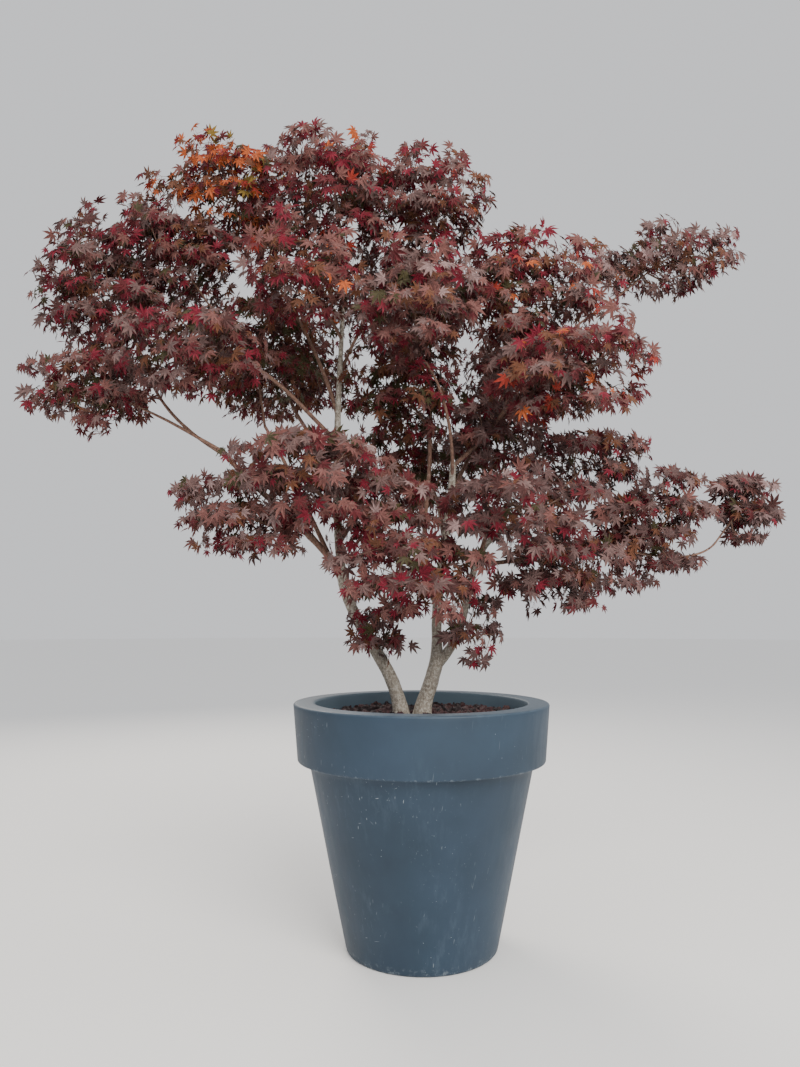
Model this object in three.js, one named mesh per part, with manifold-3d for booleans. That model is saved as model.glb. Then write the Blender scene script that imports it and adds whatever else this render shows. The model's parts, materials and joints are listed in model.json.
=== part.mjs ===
// A Japanese maple with two stems in a tall round pot, in millimetres, +Z up.
// The origin is the centre of the pot's flat underside, on the ground. Someone who faces the tree
// looks along +Y, with +X to their right.
import * as THREE from 'three';
import { mergeVertices } from 'three/addons/utils/BufferGeometryUtils.js';
import Module from 'manifold-3d';

const wasm = await Module();
wasm.setup();

// The pot, from its rim down.
const POT_HEIGHT = 1100;
const RIM_RADIUS = 600;
const LIP_WIDTH = 100;
const LIP_ROUND = 10;
const BAND_HEIGHT = 262;
const BAND_FOOT_RADIUS = 578;
const BAND_FOOT_ROUND = 8;
const BODY_TOP_RADIUS = 524;
const BASE_RADIUS = 346;
const BASE_ROUND = 14;
const POT_WALL = 9;
const INNER_TURN = 60;
const POT_SIDES = 40;

// The soil fills the pot to below its lip.
const SOIL_TOP = 1018;

// Separate pieces keep this gap where they meet.
const GAP = 0.3;

// The stems widen into a root flare where they stand on the soil.
const FLARE = 0.38;
const FLARE_HEIGHT = 28;
const STEM_SIDES = 10;
const BOUGH_SIDES = 6;
const LIMB_STEP = 250;
const ROOT_SHARE = 0.72;
const FOOT_STEPS = [0.12, 0.4];

// Each limb is a cubic curve. It starts on its parent, at a share of the parent's curve, sets out along
// `out`, arrives along `into` at `end`, and tapers from the first radius to the second.
const LIMBS = {
  stem_left: {
    foot: [-90, 0], out: [-20, -20, 270], into: [-30, 30, 260], end: [-380, -20, 1710], radii: [34, 23],
  },
  stem_right: {
    foot: [0, 0], out: [10, 0, 100], into: [20, 0, 100], end: [80, 0, 1300], radii: [37, 32],
  },
  leader_left: {
    parent: 'stem_left', share: 1,
    out: [-70, 80, 540], into: [0, -10, 540], end: [-380, 0, 3330], radii: [21, 7],
  },
  leader_right: {
    parent: 'stem_right', share: 1,
    out: [-30, 0, 320], into: [10, 0, 320], end: [160, 0, 2250], radii: [26, 14],
  },
  bough_left_long: {
    parent: 'stem_left', share: 0.97,
    out: [-140, -50, 240], into: [-160, 50, 210], end: [-920, -170, 2260], radii: [17, 11],
  },
  bough_left_arm: {
    parent: 'bough_left_long', share: 0.96,
    out: [-200, 30, 120], into: [-60, 40, 220], end: [-1340, -60, 2730], radii: [10, 7],
  },
  bough_left_low: {
    parent: 'bough_left_long', share: 0.3,
    out: [-100, -50, 70], into: [-90, -70, 70], end: [-770, -270, 1950], radii: [12, 8],
  },
  bough_left_inner: {
    parent: 'stem_left', share: 0.9,
    out: [-150, 120, 290], into: [-140, 30, 230], end: [-800, 210, 2480], radii: [13, 8],
  },
  bough_left_high: {
    parent: 'leader_left', share: 0.4,
    out: [-130, 0, 120], into: [-150, -60, 80], end: [-800, -80, 2700], radii: [13, 8],
  },
  bough_left_upper: {
    parent: 'bough_left_high', share: 0.9,
    out: [-160, 30, 150], into: [-140, 40, 150], end: [-1080, 100, 3090], radii: [8, 6],
  },
  bough_top_left: {
    parent: 'leader_left', share: 0.48,
    out: [-90, 20, 300], into: [-160, 0, 240], end: [-760, 100, 3240], radii: [11, 7],
  },
  bough_right_high: {
    parent: 'leader_right', share: 0.98,
    out: [150, -10, 120], into: [90, 30, 170], end: [520, 40, 2680], radii: [13, 9],
  },
  bough_right_upper: {
    parent: 'bough_right_high', share: 0.66,
    out: [40, -10, 140], into: [30, -10, 130], end: [450, -60, 2890], radii: [8, 6],
  },
  bough_wing: {
    parent: 'bough_right_high', share: 0.9,
    out: [110, 10, 170], into: [160, 20, 100], end: [930, 80, 3060], radii: [8, 6],
  },
  bough_centre: {
    parent: 'leader_right', share: 0.25,
    out: [-120, 140, 300], into: [-20, 30, 330], end: [50, 150, 2450], radii: [13, 9],
  },
  bough_top_right: {
    parent: 'bough_centre', share: 0.9,
    out: [20, 0, 300], into: [40, -50, 270], end: [70, 50, 3290], radii: [8, 6],
  },
  bough_inner_right: {
    parent: 'leader_right', share: 0.9,
    out: [10, -50, 200], into: [-120, -40, 120], end: [0, -150, 2730], radii: [9, 6],
  },
  bough_right: {
    parent: 'stem_right', share: 0.92,
    out: [210, -70, 170], into: [300, -20, 90], end: [450, -90, 1930], radii: [24, 10],
  },
  bough_right_mid: {
    parent: 'bough_right', share: 0.84,
    out: [-20, 70, 150], into: [100, 0, 150], end: [420, 100, 2240], radii: [10, 7],
  },
  bough_right_low: {
    parent: 'bough_right', share: 0.66,
    out: [90, -110, -20], into: [120, 10, 0], end: [520, -140, 1760], radii: [12, 9],
  },
  bough_far_right: {
    parent: 'bough_right_low', share: 0.8,
    out: [140, 10, 80], into: [140, 10, 10], end: [940, -100, 1830], radii: [9, 7],
  },
  bough_far_tip: {
    parent: 'bough_far_right', share: 0.85,
    out: [160, 0, -40], into: [100, 20, 120], end: [1400, -70, 1850], radii: [7, 5],
  },
  bough_back_left: {
    parent: 'leader_left', share: 0.24,
    out: [-30, 210, 230], into: [-80, 120, 270], end: [-740, 480, 2780], radii: [13, 8],
  },
  bough_back_right: {
    parent: 'leader_right', share: 0.8,
    out: [70, 240, 210], into: [130, 110, 270], end: [480, 480, 2740], radii: [12, 8],
  },
  bough_back_top: {
    parent: 'leader_left', share: 0.6,
    out: [60, 120, 260], into: [10, 110, 250], end: [-260, 400, 3300], radii: [10, 6],
  },
  bough_front_left: {
    parent: 'leader_left', share: 0.14,
    out: [-20, -120, 90], into: [-70, -120, 60], end: [-500, -370, 2080], radii: [12, 8],
  },
  bough_front: {
    parent: 'leader_right', share: 0.4,
    out: [-50, -110, 50], into: [-80, -100, -10], end: [-60, -300, 1740], radii: [11, 8],
  },
  bough_front_right: {
    parent: 'bough_right', share: 0.72,
    out: [20, -100, 120], into: [30, -110, 40], end: [370, -360, 1990], radii: [10, 7],
  },
};

// Each mass of foliage grows from one limb, at its tip unless a share is given, round `centre`, and its
// leaves reach the three half sizes in `reach`.
const MASSES = {
  foliage_left_tip: { limb: 'bough_left_arm', centre: [-1560, -50, 3110], reach: [345, 440, 420] },
  foliage_left_high: { limb: 'bough_left_upper', centre: [-1260, 120, 3360], reach: [410, 440, 310] },
  foliage_left_mid: { limb: 'bough_left_high', centre: [-1030, -400, 2680], reach: [400, 380, 260] },
  foliage_left_low: { limb: 'bough_left_long', centre: [-1560, -150, 2580], reach: [380, 360, 265] },
  foliage_lower_left: { limb: 'bough_left_low', centre: [-760, -340, 1990], reach: [390, 380, 270] },
  foliage_inner_left: { limb: 'bough_left_inner', centre: [-840, 210, 2850], reach: [400, 380, 350] },
  foliage_top_left: { limb: 'bough_top_left', centre: [-990, 120, 3685], reach: [465, 440, 270] },
  foliage_top: { limb: 'leader_left', centre: [-435, 0, 3610], reach: [470, 460, 335] },
  foliage_upper: { limb: 'leader_left', share: 0.72, centre: [-560, -340, 3050], reach: [340, 400, 260] },
  foliage_top_right: { limb: 'bough_top_right', centre: [60, 20, 3560], reach: [340, 420, 280] },
  foliage_centre_high: { limb: 'bough_inner_right', centre: [-30, -360, 2910], reach: [370, 390, 280] },
  foliage_centre: { limb: 'bough_centre', centre: [-90, 140, 2630], reach: [370, 360, 330] },
  foliage_right_high: { limb: 'bough_right_upper', centre: [540, -170, 3030], reach: [470, 420, 280] },
  foliage_right_wing: { limb: 'bough_wing', centre: [1240, 100, 3315], reach: [430, 380, 210] },
  foliage_right_mid: { limb: 'bough_right_high', centre: [670, -360, 2610], reach: [430, 420, 280] },
  foliage_centre_right: { limb: 'bough_right_mid', centre: [420, 130, 2440], reach: [370, 360, 300] },
  foliage_right_inner: { limb: 'bough_right', centre: [880, 260, 2300], reach: [380, 380, 230] },
  foliage_right_front: { limb: 'bough_front_right', centre: [410, -520, 1950], reach: [380, 400, 240] },
  foliage_right_low: { limb: 'bough_right_low', centre: [670, -160, 1720], reach: [380, 380, 230] },
  foliage_far_right: { limb: 'bough_far_right', centre: [1110, 0, 1940], reach: [380, 400, 300] },
  foliage_far_tip: { limb: 'bough_far_tip', centre: [1530, -60, 2015], reach: [200, 230, 175] },
  foliage_front_left: { limb: 'bough_front_left', centre: [-500, -540, 2120], reach: [360, 390, 240] },
  foliage_front_low: { limb: 'bough_front', centre: [-40, -470, 1690], reach: [400, 380, 240] },
  foliage_low_mid: { limb: 'leader_left', share: 0.09, centre: [-230, -120, 2020], reach: [330, 340, 270] },
  foliage_sprig_left: { limb: 'stem_left', share: 0.45, centre: [-205, -130, 1405], reach: [190, 200, 132] },
  foliage_sprig_right: { limb: 'bough_right', share: 0.3, centre: [240, -120, 1450], reach: [180, 200, 190] },
  foliage_back_left: { limb: 'bough_back_left', centre: [-780, 720, 2940], reach: [460, 440, 350] },
  foliage_back_right: { limb: 'bough_back_right', centre: [620, 720, 2880], reach: [470, 440, 350] },
  foliage_back_top: { limb: 'bough_back_top', centre: [-100, 660, 3310], reach: [450, 440, 370] },
  foliage_back_low: { limb: 'leader_right', share: 0.6, centre: [60, 700, 2320], reach: [480, 440, 330] },
};

// One leaf of the model stands for a spray of real ones. Its rim has five lobes, and starts and ends
// at the two sides of its stalk.
const LEAF_LENGTH = 250;
const LEAF_SHARE_OF_REACH = 0.64;
const LEAF_HALF_THICKNESS = 5.5;
const LEAF_DROOP = 0.16;
const LOBE_ANGLES = [-104, -50, 0, 50, 104];
const LOBE_LENGTHS = [0.68, 0.94, 1, 0.94, 0.68];
const NOTCH_LENGTH = 0.46;
const STALK_ANGLE = 140;
const STALK_LENGTH = 0.04;
const LOBE_HALF_WIDTH = 0.14;
const FEWEST_LEAVES = 5;
const LEAVES_IN_A_CUBIC_METRE = 30;

// How a leaf finds its place: candidates drawn for each, how far in from the edge they keep, as shares
// of a leaf, and how far apart is far enough.
const PLACE_TRIES = 14;
const PLACE_INSET = 0.75;
const PLACE_INSET_UP = 0.22;
const PLACE_MARGIN = 30;
const FAR_APART = 400;

// How a leaf hangs: it dips below its twig's direction by an angle in this range, rolls a little, and
// turns further and shrinks with each try.
const LEAF_TRIES = 10;
const LEAF_DIP = [25, 63];
const LEAF_LIFT = [-60, 25];
const LEAF_ROLL = 40;
const LEAF_TURN = 0.6;
const TURN_PER_TRY = 0.2;
const SHRINK_PER_TRY = 0.04;

// Twigs fork from the stem and from each other. A twig picks the place that costs it least.
const TWIG_TIP_RADIUS = 3;
const TWIG_SIDES = 3;
const PIPE_POWER = 2.6;
const FORK_SHARE = 0.55;
const FORK_TRIES = 4;
const FORK_MARGIN = 12;
const PATH_COST = 0.3;
const SIBLING_COST = 60;
const STEM_PATH = 120;
const STEM_FORKS = [0.4, 0.55, 0.7, 0.85, 1];
const STEM_SHARES = [0, 0.35, 0.7, 1];
const STEM_BEND = 0.12;
const STEM_SLIMNESS = 0.8;
const STEM_TIP = 1.3;

// Leaves and twigs keep these half widths to themselves, and this much air beyond.
const LEAF_ROOM = 4;
const TWIG_ROOM = 5;
const AIR = 1;

const CELL_FLATNESS = 1.25;
const FIRST_SEED = 104729;

const vector = (xyz) => new THREE.Vector3(...xyz);
const UP = new THREE.Vector3(0, 0, 1);
const radians = THREE.MathUtils.degToRad;

// A plain repeatable source of numbers between 0 and 1.
function seededRandom(seed) {
  const MODULUS = 2147483647;
  let state = seed * 7919 + FIRST_SEED;
  const draw = () => {
    state = (state * 48271) % MODULUS;
    return state / MODULUS;
  };
  draw();
  draw();
  return draw;
}

// Solids

// A closed list of corners and triangles as a solid that can be joined and cut.
function solid(corners, triangles) {
  const vertProperties = new Float32Array(corners.flatMap((p) => [p.x, p.y, p.z]));
  const triVerts = new Uint32Array(triangles.flat());
  return new wasm.Manifold(new wasm.Mesh({ numProp: 3, vertProperties, triVerts }));
}

function solidOfGeometry(geometry) {
  geometry.deleteAttribute('normal');
  geometry.deleteAttribute('uv');
  const merged = mergeVertices(geometry, 1e-3);
  const vertProperties = new Float32Array(merged.attributes.position.array);
  const triVerts = new Uint32Array(merged.index.array);
  return new wasm.Manifold(new wasm.Mesh({ numProp: 3, vertProperties, triVerts }));
}

function joined(solids) {
  if (solids.length === 1) return solids[0];
  const middle = Math.floor(solids.length / 2);
  return joined(solids.slice(0, middle)).add(joined(solids.slice(middle)));
}

function geometryOf(body) {
  const { vertProperties, triVerts } = body.getMesh();
  const geometry = new THREE.BufferGeometry();
  geometry.setAttribute('position', new THREE.BufferAttribute(new Float32Array(vertProperties), 3));
  geometry.setIndex(new THREE.BufferAttribute(new Uint32Array(triVerts), 1));
  geometry.computeVertexNormals();
  return geometry;
}

// A tube with flat ends round a line of points, with a radius at each. `across` is any direction that
// the line never runs along.
function taperedTube(points, radii, sides, across) {
  const corners = [];
  const triangles = [];
  points.forEach((point, i) => {
    const before = points[Math.max(i - 1, 0)];
    const after = points[Math.min(i + 1, points.length - 1)];
    const along = after.clone().sub(before).normalize();
    const side = along.clone().cross(across).normalize();
    const third = along.clone().cross(side);
    for (let k = 0; k < sides; k++) {
      const angle = (2 * Math.PI * k) / sides;
      corners.push(point.clone()
        .addScaledVector(side, radii[i] * Math.cos(angle))
        .addScaledVector(third, radii[i] * Math.sin(angle)));
    }
  });
  for (let i = 0; i + 1 < points.length; i++) {
    for (let k = 0; k < sides; k++) {
      const a = i * sides + k;
      const b = i * sides + (k + 1) % sides;
      triangles.push([a, b, b + sides], [a, b + sides, a + sides]);
    }
  }
  const last = (points.length - 1) * sides;
  for (let k = 1; k + 1 < sides; k++) {
    triangles.push([0, k + 1, k], [last, last + k, last + k + 1]);
  }
  return solid(corners, triangles);
}

// The pot and its soil

function potOuterRadius(z) {
  return BASE_RADIUS + ((BODY_TOP_RADIUS - BASE_RADIUS) * z) / (POT_HEIGHT - BAND_HEIGHT);
}

// The profile runs from the axis under the pot, up its outside and back down its inside to the axis.
function potProfile() {
  const bandFoot = POT_HEIGHT - BAND_HEIGHT;
  const opening = RIM_RADIUS - LIP_WIDTH;
  const innerTurn = bandFoot - INNER_TURN;
  const corner = 0.3 * LIP_ROUND;
  return [
    [0, 0],
    [BASE_RADIUS - BASE_ROUND, 0],
    [potOuterRadius(BASE_ROUND), BASE_ROUND],
    [BODY_TOP_RADIUS, bandFoot],
    [BAND_FOOT_RADIUS - BAND_FOOT_ROUND, bandFoot],
    [BAND_FOOT_RADIUS, bandFoot + BAND_FOOT_ROUND],
    [RIM_RADIUS, POT_HEIGHT - LIP_ROUND],
    [RIM_RADIUS - corner, POT_HEIGHT - corner],
    [RIM_RADIUS - LIP_ROUND, POT_HEIGHT],
    [opening + LIP_ROUND, POT_HEIGHT],
    [opening, POT_HEIGHT - LIP_ROUND],
    [potOuterRadius(innerTurn) - POT_WALL, innerTurn],
    [potOuterRadius(POT_WALL) - POT_WALL, POT_WALL],
    [0, POT_WALL],
  ];
}

function turned(profile) {
  const points = profile.map(([r, z]) => new THREE.Vector2(r, z));
  const geometry = new THREE.LatheGeometry(points, POT_SIDES);
  geometry.rotateX(Math.PI / 2);
  return solidOfGeometry(geometry);
}

function potInnerRadius(z) {
  const profile = potProfile();
  const [topRadius, topZ] = profile[10];
  const [turnRadius, turnZ] = profile[11];
  return topRadius + ((turnRadius - topRadius) * (topZ - z)) / (topZ - turnZ);
}

function soilProfile() {
  const profile = potProfile();
  const [turnRadius, turnZ] = profile[11];
  const [floorRadius, floorZ] = profile[12];
  return [
    [0, floorZ + GAP],
    [floorRadius - 2 * GAP, floorZ + GAP],
    [turnRadius - GAP, turnZ],
    [potInnerRadius(SOIL_TOP) - GAP, SOIL_TOP],
    [0, SOIL_TOP],
  ];
}

// Stems and boughs

const curves = {};

function limbCurve(name) {
  if (!curves[name]) {
    const { parent, share, foot, out, into, end } = LIMBS[name];
    const start = parent
      ? limbCurve(parent).getPoint(share)
      : new THREE.Vector3(foot[0], foot[1], SOIL_TOP + GAP);
    const arrival = vector(end);
    const first = start.clone().add(vector(out));
    const second = arrival.clone().sub(vector(into));
    curves[name] = new THREE.CubicBezierCurve3(start, first, second, arrival);
  }
  return curves[name];
}

// A limb that springs from its parent's side is no thicker there than fits inside the parent.
function limbRadius(name, share) {
  const { radii, foot, parent, share: fork } = LIMBS[name];
  const first = parent && fork < 1 ? Math.min(radii[0], ROOT_SHARE * limbRadius(parent, fork)) : radii[0];
  const radius = THREE.MathUtils.lerp(first, Math.min(radii[1], first), share);
  if (!foot) return radius;
  const height = limbCurve(name).getPoint(share).z - SOIL_TOP;
  return radius * (1 + FLARE * Math.exp(-height / FLARE_HEIGHT));
}

// The points and radii of a limb. The foot of a stem has extra points for its flare.
function limbLine(name) {
  const curve = limbCurve(name);
  const steps = Math.max(4, Math.round(curve.getLength() / LIMB_STEP));
  const shares = Array.from({ length: steps + 1 }, (_, i) => i / steps);
  if (LIMBS[name].foot) shares.splice(1, 0, ...FOOT_STEPS.map((step) => step / steps));
  return {
    points: shares.map((share) => curve.getPoint(share)),
    radii: shares.map((share) => limbRadius(name, share)),
  };
}

// A limb's tube. `margin` makes it thicker and longer all round, for cutting its neighbours.
function limbTube(name, margin) {
  const { points, radii } = limbLine(name);
  const { foot } = LIMBS[name];
  if (margin > 0) {
    const last = points.length - 1;
    const along = points[last].clone().sub(points[last - 1]).normalize();
    points[last].addScaledVector(along, margin);
  }
  const chord = points[points.length - 1].clone().sub(points[0]).normalize();
  const across = Math.abs(chord.y) < 0.8 ? new THREE.Vector3(0, 1, 0) : new THREE.Vector3(1, 0, 0);
  const sides = foot ? STEM_SIDES : BOUGH_SIDES;
  const tube = taperedTube(points, radii.map((radius) => radius + margin), sides, across);
  return foot && margin === 0 ? cutLevel(tube) : tube;
}

// The foot of a stem is cut flat where it meets the soil.
function cutLevel(tube) {
  const depth = RIM_RADIUS;
  const slab = new THREE.BoxGeometry(2 * depth, 2 * depth, depth);
  slab.translate(0, 0, SOIL_TOP + GAP - depth / 2);
  return tube.subtract(solidOfGeometry(slab));
}

function buildLimbs() {
  const built = {};
  const names = Object.keys(LIMBS);
  names.forEach((name, i) => {
    built[name] = names.slice(0, i).reduce(
      (tube, earlier) => tube.subtract(limbTube(earlier, GAP)),
      limbTube(name, 0),
    );
  });
  return built;
}

// Foliage

// The shortest distance between two straight pieces of line.
function segmentDistance(a, b, c, d) {
  const u = b.clone().sub(a);
  const v = d.clone().sub(c);
  const w = a.clone().sub(c);
  const uu = u.dot(u);
  const uv = u.dot(v);
  const vv = v.dot(v);
  const uw = u.dot(w);
  const vw = v.dot(w);
  const spread = uu * vv - uv * uv;
  let s = spread > 1e-9 ? THREE.MathUtils.clamp((uv * vw - vv * uw) / spread, 0, 1) : 0;
  const t = THREE.MathUtils.clamp((uv * s + vw) / vv, 0, 1);
  s = THREE.MathUtils.clamp((uv * t - uw) / uu, 0, 1);
  return w.addScaledVector(u, s).addScaledVector(v, -t).length();
}

// Whether a point lies in a mass's own space, at least `margin` from its edge: within its reach, and
// nearer to its heart than to any other's.
function inSpace(mass, point, margin) {
  const offset = point.clone().sub(mass.heart);
  const [rx, ry, rz] = mass.reach;
  if (Math.hypot(offset.x / (rx - margin), offset.y / (ry - margin), offset.z / (rz - margin)) > 1) {
    return false;
  }
  return mass.walls.every(({ normal, distance }) => normal.dot(point) <= distance - margin);
}

// The flat walls between a mass and its neighbours.
function cellWalls(mass, masses) {
  const stretched = (p) => new THREE.Vector3(p.x, p.y, p.z * CELL_FLATNESS);
  const size = ({ reach: [rx, ry, rz] }) => (rx + ry + rz * CELL_FLATNESS) / 3;
  const own = stretched(mass.heart);
  return masses.filter((other) => other !== mass).map((other) => {
    const its = stretched(other.heart);
    const level = (its.lengthSq() - own.lengthSq() + size(mass) ** 2 - size(other) ** 2) / 2;
    const slope = its.clone().sub(own);
    const normal = stretched(slope);
    const length = normal.length();
    return { normal: normal.divideScalar(length), distance: level / length };
  });
}

// The stem of a mass runs from its limb to its heart, bending up a little on the way.
function stemPoints(mass) {
  const start = limbCurve(mass.limb).getPoint(mass.share);
  const setOut = limbCurve(mass.limb).getTangent(mass.share);
  const span = mass.heart.clone().sub(start);
  const reach = span.length();
  const bend = start.clone()
    .addScaledVector(span, 0.5)
    .addScaledVector(mass.share === 1 ? setOut : UP, STEM_BEND * reach);
  const curve = new THREE.QuadraticBezierCurve3(start, bend, mass.heart);
  return STEM_SHARES.map((share) => curve.getPoint(share));
}

function limbObstacles() {
  return Object.keys(LIMBS).flatMap((name) => {
    const { points, radii } = limbLine(name);
    return points.slice(1).map((end, i) => (
      { a: points[i], b: end, radius: Math.max(radii[i], radii[i + 1]) }
    ));
  });
}

function stemObstacles(mass) {
  const points = stemPoints(mass);
  const radius = limbRadius(mass.limb, mass.share);
  return points.slice(1).map((end, i) => ({ a: points[i], b: end, radius }));
}

// A leaf lies across `normal`, with its middle lobe along `axis`, and its lobes droop towards their tips.
function leafLobes(leaf, angles, lengths) {
  const side = leaf.normal.clone().cross(leaf.axis);
  return angles.map((angle, i) => {
    const length = lengths[i] * leaf.length;
    const droop = LEAF_DROOP * length * (length / LEAF_LENGTH);
    return leaf.at.clone()
      .addScaledVector(leaf.axis, length * Math.cos(radians(angle)))
      .addScaledVector(side, length * Math.sin(radians(angle)))
      .addScaledVector(leaf.normal, -droop);
  });
}

// A leaf and its twig are one body: the twig's three sides open into the four corners of the stalk.
function leafSolid(leaf, from, radius) {
  const angles = [-STALK_ANGLE];
  const lengths = [STALK_LENGTH];
  LOBE_ANGLES.forEach((angle, i) => {
    if (i > 0) {
      angles.push((angle + LOBE_ANGLES[i - 1]) / 2);
      lengths.push(NOTCH_LENGTH);
    }
    angles.push(angle);
    lengths.push(LOBE_LENGTHS[i]);
  });
  angles.push(STALK_ANGLE);
  lengths.push(STALK_LENGTH);
  const rim = leafLobes(leaf, angles, lengths);
  const side = leaf.normal.clone().cross(leaf.axis);
  const above = leaf.at.clone().addScaledVector(leaf.normal, LEAF_HALF_THICKNESS);
  const below = leaf.at.clone().addScaledVector(leaf.normal, -LEAF_HALF_THICKNESS);
  const ring = [90, 210, 330].map((turn) => from.clone()
    .addScaledVector(side, -radius * Math.cos(radians(turn)))
    .addScaledVector(leaf.normal, radius * Math.sin(radians(turn))));
  const left = rim.length - 1;
  const right = 0;
  const top = rim.length;
  const bottom = top + 1;
  const [a, b, c] = [top + 2, top + 3, top + 4];
  const triangles = [
    [a, top, left], [a, left, b], [b, left, bottom], [b, bottom, c],
    [c, bottom, right], [c, right, a], [a, right, top], [a, b, c],
  ];
  for (let i = 0; i < left; i++) {
    triangles.push([i, i + 1, top], [i + 1, i, bottom]);
  }
  return solid([...rim, above, below, ...ring], triangles);
}

// Whether a leaf or twig, as straight lines with a half width, stays clear of everything it must.
function clearOf(lines, halfWidth, obstacles) {
  return obstacles.every(({ a, b, radius }) => (
    lines.every(([c, d]) => segmentDistance(c, d, a, b) > radius + halfWidth + AIR)
  ));
}

// The places for leaves: each one is the candidate furthest from those before it. They keep back from
// the edge by most of a leaf.
function leafPlaces(mass, count, draw) {
  const [rx, ry, rz] = mass.reach;
  const inset = PLACE_INSET * mass.leafLength;
  const insetUp = PLACE_INSET_UP * mass.leafLength;
  const places = [];
  for (let i = 0; i < count; i++) {
    let best = null;
    let widest = -1;
    for (let tries = 0; tries < PLACE_TRIES; tries++) {
      const turn = 2 * Math.PI * draw();
      const lift = 2 * draw() - 1;
      const out = 0.25 + 0.75 * Math.sqrt(draw());
      const flat = Math.sqrt(1 - lift * lift);
      const place = mass.heart.clone().add(new THREE.Vector3(
        (rx - inset) * out * flat * Math.cos(turn),
        (ry - inset) * out * flat * Math.sin(turn),
        (rz - insetUp) * out * lift,
      ));
      if (!inSpace(mass, place, PLACE_MARGIN)) continue;
      const nearest = Math.min(FAR_APART, ...places.map((other) => other.distanceTo(place)));
      if (nearest > widest) {
        widest = nearest;
        best = place;
      }
    }
    if (best) places.push(best);
  }
  return places.sort((p, q) => p.distanceTo(mass.heart) - q.distanceTo(mass.heart));
}

// A leaf at the end of a twig, hanging down from the twig's own direction, or null where none fits.
function fittedLeaf(mass, from, place, draw, others, obstacles) {
  const setOut = place.clone().sub(from).normalize();
  const bearing = Math.atan2(setOut.y, setOut.x);
  const rise = Math.asin(setOut.z);
  for (let tries = 0; tries < LEAF_TRIES; tries++) {
    const turn = bearing + (draw() - 0.5) * (LEAF_TURN + TURN_PER_TRY * tries);
    const dip = THREE.MathUtils.lerp(...LEAF_DIP, draw());
    const lift = THREE.MathUtils.clamp(rise - radians(dip), ...LEAF_LIFT.map(radians));
    const roll = radians(LEAF_ROLL * (draw() - 0.5));
    const axis = new THREE.Vector3(
      Math.cos(turn) * Math.cos(lift),
      Math.sin(turn) * Math.cos(lift),
      Math.sin(lift),
    );
    const normal = UP.clone().addScaledVector(axis, -axis.z).normalize().applyAxisAngle(axis, roll);
    const leaf = { at: place, axis, normal, length: mass.leafLength * (1 - SHRINK_PER_TRY * tries) };
    const tips = leafLobes(leaf, LOBE_ANGLES, LOBE_LENGTHS);
    leaf.lines = tips.map((tip) => [place, tip]);
    const fits = tips.every((tip) => inSpace(mass, tip, AIR))
      && clearOf(leaf.lines, LOBE_HALF_WIDTH * leaf.length, obstacles)
      && clearOf(leaf.lines, LEAF_ROOM, others);
    if (fits) return leaf;
  }
  return null;
}

// Places where twigs may leave the stem, on the straight pieces between its points.
function stemNodes(stem) {
  return STEM_FORKS.map((share) => {
    const along = share * (stem.length - 1);
    const piece = Math.min(Math.floor(along), stem.length - 2);
    const at = stem[piece].clone().lerp(stem[piece + 1], along - piece);
    return { at, parent: null, path: STEM_PATH * share };
  });
}

// A mass of foliage: a stem, and leaves on twigs that branch from it and from each other.
function growMass(mass, obstacles, seed) {
  const draw = seededRandom(seed);
  const stem = stemPoints(mass);
  const tipRadius = limbRadius(mass.limb, mass.share);
  const nodes = stemNodes(stem);
  const [rx, ry, rz] = mass.reach;
  const volume = (4 / 3) * Math.PI * rx * ry * rz * 1e-9;
  const count = Math.round(FEWEST_LEAVES + LEAVES_IN_A_CUBIC_METRE * volume);
  const leaves = [];
  for (const place of leafPlaces(mass, count, draw)) {
    const lobes = leaves.flatMap((other) => other.lines.map(([a, b]) => ({ a, b, radius: LEAF_ROOM })));
    const twigs = leaves.map((other) => ({ a: nodes[other.node].from, b: other.at, radius: LEAF_ROOM }));
    const cost = ({ at, path, children = 0 }) => (
      at.distanceTo(place) + PATH_COST * path + SIBLING_COST * children
    );
    const reachable = nodes
      .filter((node) => inSpace(mass, node.at, FORK_MARGIN)
        && clearOf([[node.at, place]], 2 * TWIG_TIP_RADIUS, obstacles)
        && clearOf([[node.at, place]], TWIG_ROOM, lobes))
      .sort((p, q) => cost(p) - cost(q));
    for (const node of reachable.slice(0, FORK_TRIES)) {
      const leaf = fittedLeaf(mass, node.at, place, draw, [...lobes, ...twigs], obstacles);
      if (!leaf) continue;
      const path = node.path + node.at.distanceTo(place);
      leaf.node = nodes.length;
      const fork = node.at.clone().lerp(place, FORK_SHARE);
      nodes.push({ at: fork, from: node.at, parent: node, path, load: 1 });
      leaves.push(leaf);
      node.children = (node.children ?? 0) + 1;
      for (let up = node; up; up = up.parent) up.load = (up.load ?? 0) + 1;
      break;
    }
  }
  const radius = (load) => Math.min(TWIG_TIP_RADIUS * load ** (1 / PIPE_POWER), tipRadius);
  const foot = STEM_SLIMNESS * tipRadius;
  const stemRadii = [foot, foot, radius(leaves.length / 2), STEM_TIP * TWIG_TIP_RADIUS];
  const across = new THREE.Vector3(0.31, 0.87, 0.38).normalize();
  const parts = leaves.map((leaf) => {
    const { from, load } = nodes[leaf.node];
    return leafSolid(leaf, from, radius(load));
  });
  return joined([taperedTube(stem, stemRadii, TWIG_SIDES, across), ...parts]);
}

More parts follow.
